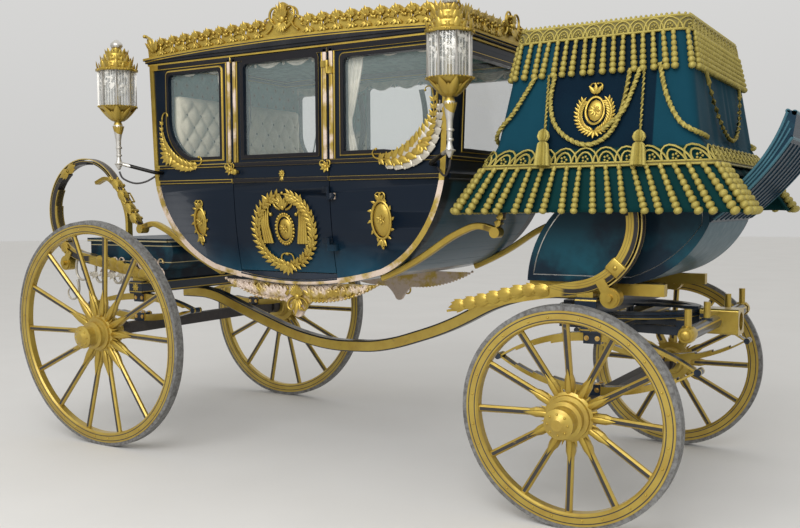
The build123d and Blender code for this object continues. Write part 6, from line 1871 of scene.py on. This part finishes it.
board_paint.mottle(
    board_wear * 0.7, (0.004, 0.024, 0.045), (0.012, 0.055, 0.078), 0.36, 0.25, rough_tone=board_wear,
)
board_line = Finish("footboard_line", {"Coat Weight": 0.2, "Specular IOR Level": 0.3})
board_line.mottle(
    board_line.grain(20.0, 4.0), (0.045, 0.15, 0.19), (0.020, 0.07, 0.10), 0.40, 0.2,
    rough_tone=board_line.grain(40.0),
)
dress("coach_boot", boot_paint)
dress("footboard", board_paint)

PANEL_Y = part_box("coach_boot")[1].y - 0.006
boot_beads = bmesh.new()
bead_hollow_edges(
    boot_beads, "coach_boot", lambda middle: abs(abs(middle.y) - PANEL_Y) < 0.001, 0.0045, 0.006,
)
piece("boot_beads", boot_beads, [silver])

ribs = bmesh.new()
BOARD_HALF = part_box("footboard")[1].y
BOARD_FOOT = Vector((FRONT_X, 0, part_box("footboard")[0].z - 0.005))
lower_arc = arc_through((0.493, 0.005), (0.680, 0.175), (0.830, 0.367), 24)
upper_arc = arc_through((0.493, 0.088), (0.690, 0.262), (0.806, 0.487), 24)
for share, thick in ((0.04, 0.007), (0.36, 0.005), (0.62, 0.005), (0.94, 0.007)):
    for y in (-BOARD_HALF, BOARD_HALF):
        line = []
        for (low_x, low_z), (high_x, high_z) in zip(lower_arc, upper_arc):
            offset = Vector((low_x + (high_x - low_x) * share, y, low_z + (high_z - low_z) * share))
            line.append(BOARD_FOOT + offset)
        lay(ribs, line[1:], thick, sides=8)
for count in range(9):
    y = -BOARD_HALF + 0.030 + (2 * BOARD_HALF - 0.060) * count / 8
    line = [BOARD_FOOT + Vector((x, y, z)) for x, z in lower_arc]
    lay(ribs, line[1:-1], 0.0055, 1, sides=8)
for x, z, thick in ((0.836, 0.476, 0.012), (0.808, 0.484, 0.010), (0.826, 0.370, 0.008)):
    line = [BOARD_FOOT + Vector((x, BOARD_HALF * (step / 6 - 1), z)) for step in range(13)]
    lay(ribs, line, thick, sides=10)
piece("footboard_ribs", ribs, [board_line, board_paint], crease=50)

# Footmen's stand: a panelled ash locker over the rear springs, painted blue and lined in
# gilt. A carved limewood frieze is pinned below it, and silvered scrolls stay the springs.
STAND_TOP, STAND_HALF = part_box("footman_stand")[1].z, 0.470
stand_paint = Finish("stand_blue", {"Coat Weight": 0.1, "Coat Roughness": 0.08, "Specular IOR Level": 0.15})
stand_z = stand_paint.spot()[2]
stand_lines = stand_paint.band(stand_z, STAND_TOP - 0.048, STAND_TOP - 0.043, 0.0008)
stand_lines = stand_lines + stand_paint.band(stand_z, STAND_TOP - 0.020, STAND_TOP - 0.012, 0.0008)
stand_lines = stand_lines + stand_paint.band(stand_z, STAND_TOP - 0.150, STAND_TOP - 0.145, 0.0008)
stand_cloud = stand_paint.grain(6.0, 5.0, 0.6)
stand_worn = stand_paint.rise(stand_cloud, 0.4, 0.7)
stand_colour = stand_paint.blend(stand_worn, (0.005, 0.012, 0.024), (0.008, 0.050, 0.075))
stand_lined = stand_paint.math("MINIMUM", stand_lines, 1.0)
stand_paint.mottle(stand_lined, stand_colour, (0.42, 0.36, 0.20), 0.32, 0.2, rough_tone=stand_cloud)
dress("footman_stand", stand_paint)
frieze = bmesh.new()
FRIEZE_Z = STAND_TOP - 0.196
for count in range(7):
    x = -0.430 + 0.088 * count
    turn = 1 if count % 2 else -1
    scroll(frieze, x, FRIEZE_Z, 90 - turn * 70, 0.130, (turn * 50, turn * 420), 0.008, 0.004, 12)
    fan(frieze, x, FRIEZE_Z - 0.004, 270, range(-50, 51, 25), 0.044, 0.006, 1.5)
    boss_at(frieze, x, FRIEZE_Z, 0.010, out=0.008)
settle(frieze, REAR_X, lambda z: STAND_HALF)
piece("stand_frieze", frieze, [pearl], mirror=True)
stays = bmesh.new()
for count in range(5):
    x, turn = -1.895 + 0.082 * count, 1 if count % 2 else -1
    top = 1.066 - 0.03 * max(0, count - 3)
    scroll(stays, x, top, 270, 0.200, (turn * 60, -turn * 420), 0.009, 0.0, 14)
    scroll(stays, x, top - 0.010, 270, 0.110, (-turn * 50, turn * 380), 0.007, 0.004, 12)
    fan(stays, x, top - 0.050, 270, range(-60, 61, 40), 0.050, 0.006, 1.5)
for top, turn in ((1.092, 1), (0.960, -1)):
    scroll(stays, -2.075, top, 270 - turn * 20, 0.300, (turn * 40, turn * 560), 0.010, 0.0, 22)
settle(stays, 0, lambda z: SPRING_Y + 0.012)
piece("spring_scroll_stays", stays, [silver_white], mirror=True)

# Trim of the forecarriage: gilt leaf caps on the ends of the splinter bar and bosses on
# the beds' ends.
caps = bmesh.new()
for side in (-1, 1):
    end = Vector((FRONT_X + 0.440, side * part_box("splinter_bar")[1].y, BASE_Z - 0.1333))
    for angle in angles(8):
        ring = Vector((cos(angle), 0, sin(angle)))
        tip = end + ring * 0.036 - Vector((0, side * 0.075, 0))
        stamp(caps, ACANTHUS, toward(end + ring * 0.030, tip, ring))
    stamp(caps, BEAD, at(end, (0.024, 0.010, 0.024)))
piece("splinter_caps", caps, body="forecarriage")
rear_bed, turning_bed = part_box("rear_bed"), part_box("turning_bed")
for body, x, y, z, size in (
    ("carriage", REAR_X, rear_bed[1].y, (rear_bed[0].z + rear_bed[1].z) / 2, 0.028),
    ("forecarriage", FRONT_X, turning_bed[1].y, turning_bed[0].z + 0.020, 0.015),
):
    bosses = bmesh.new()
    for side in (-1, 1):
        rosette(bosses, Vector((x, side * y, z)), size, side)
    piece(f"{body}_bed_rosettes", bosses, body=body)
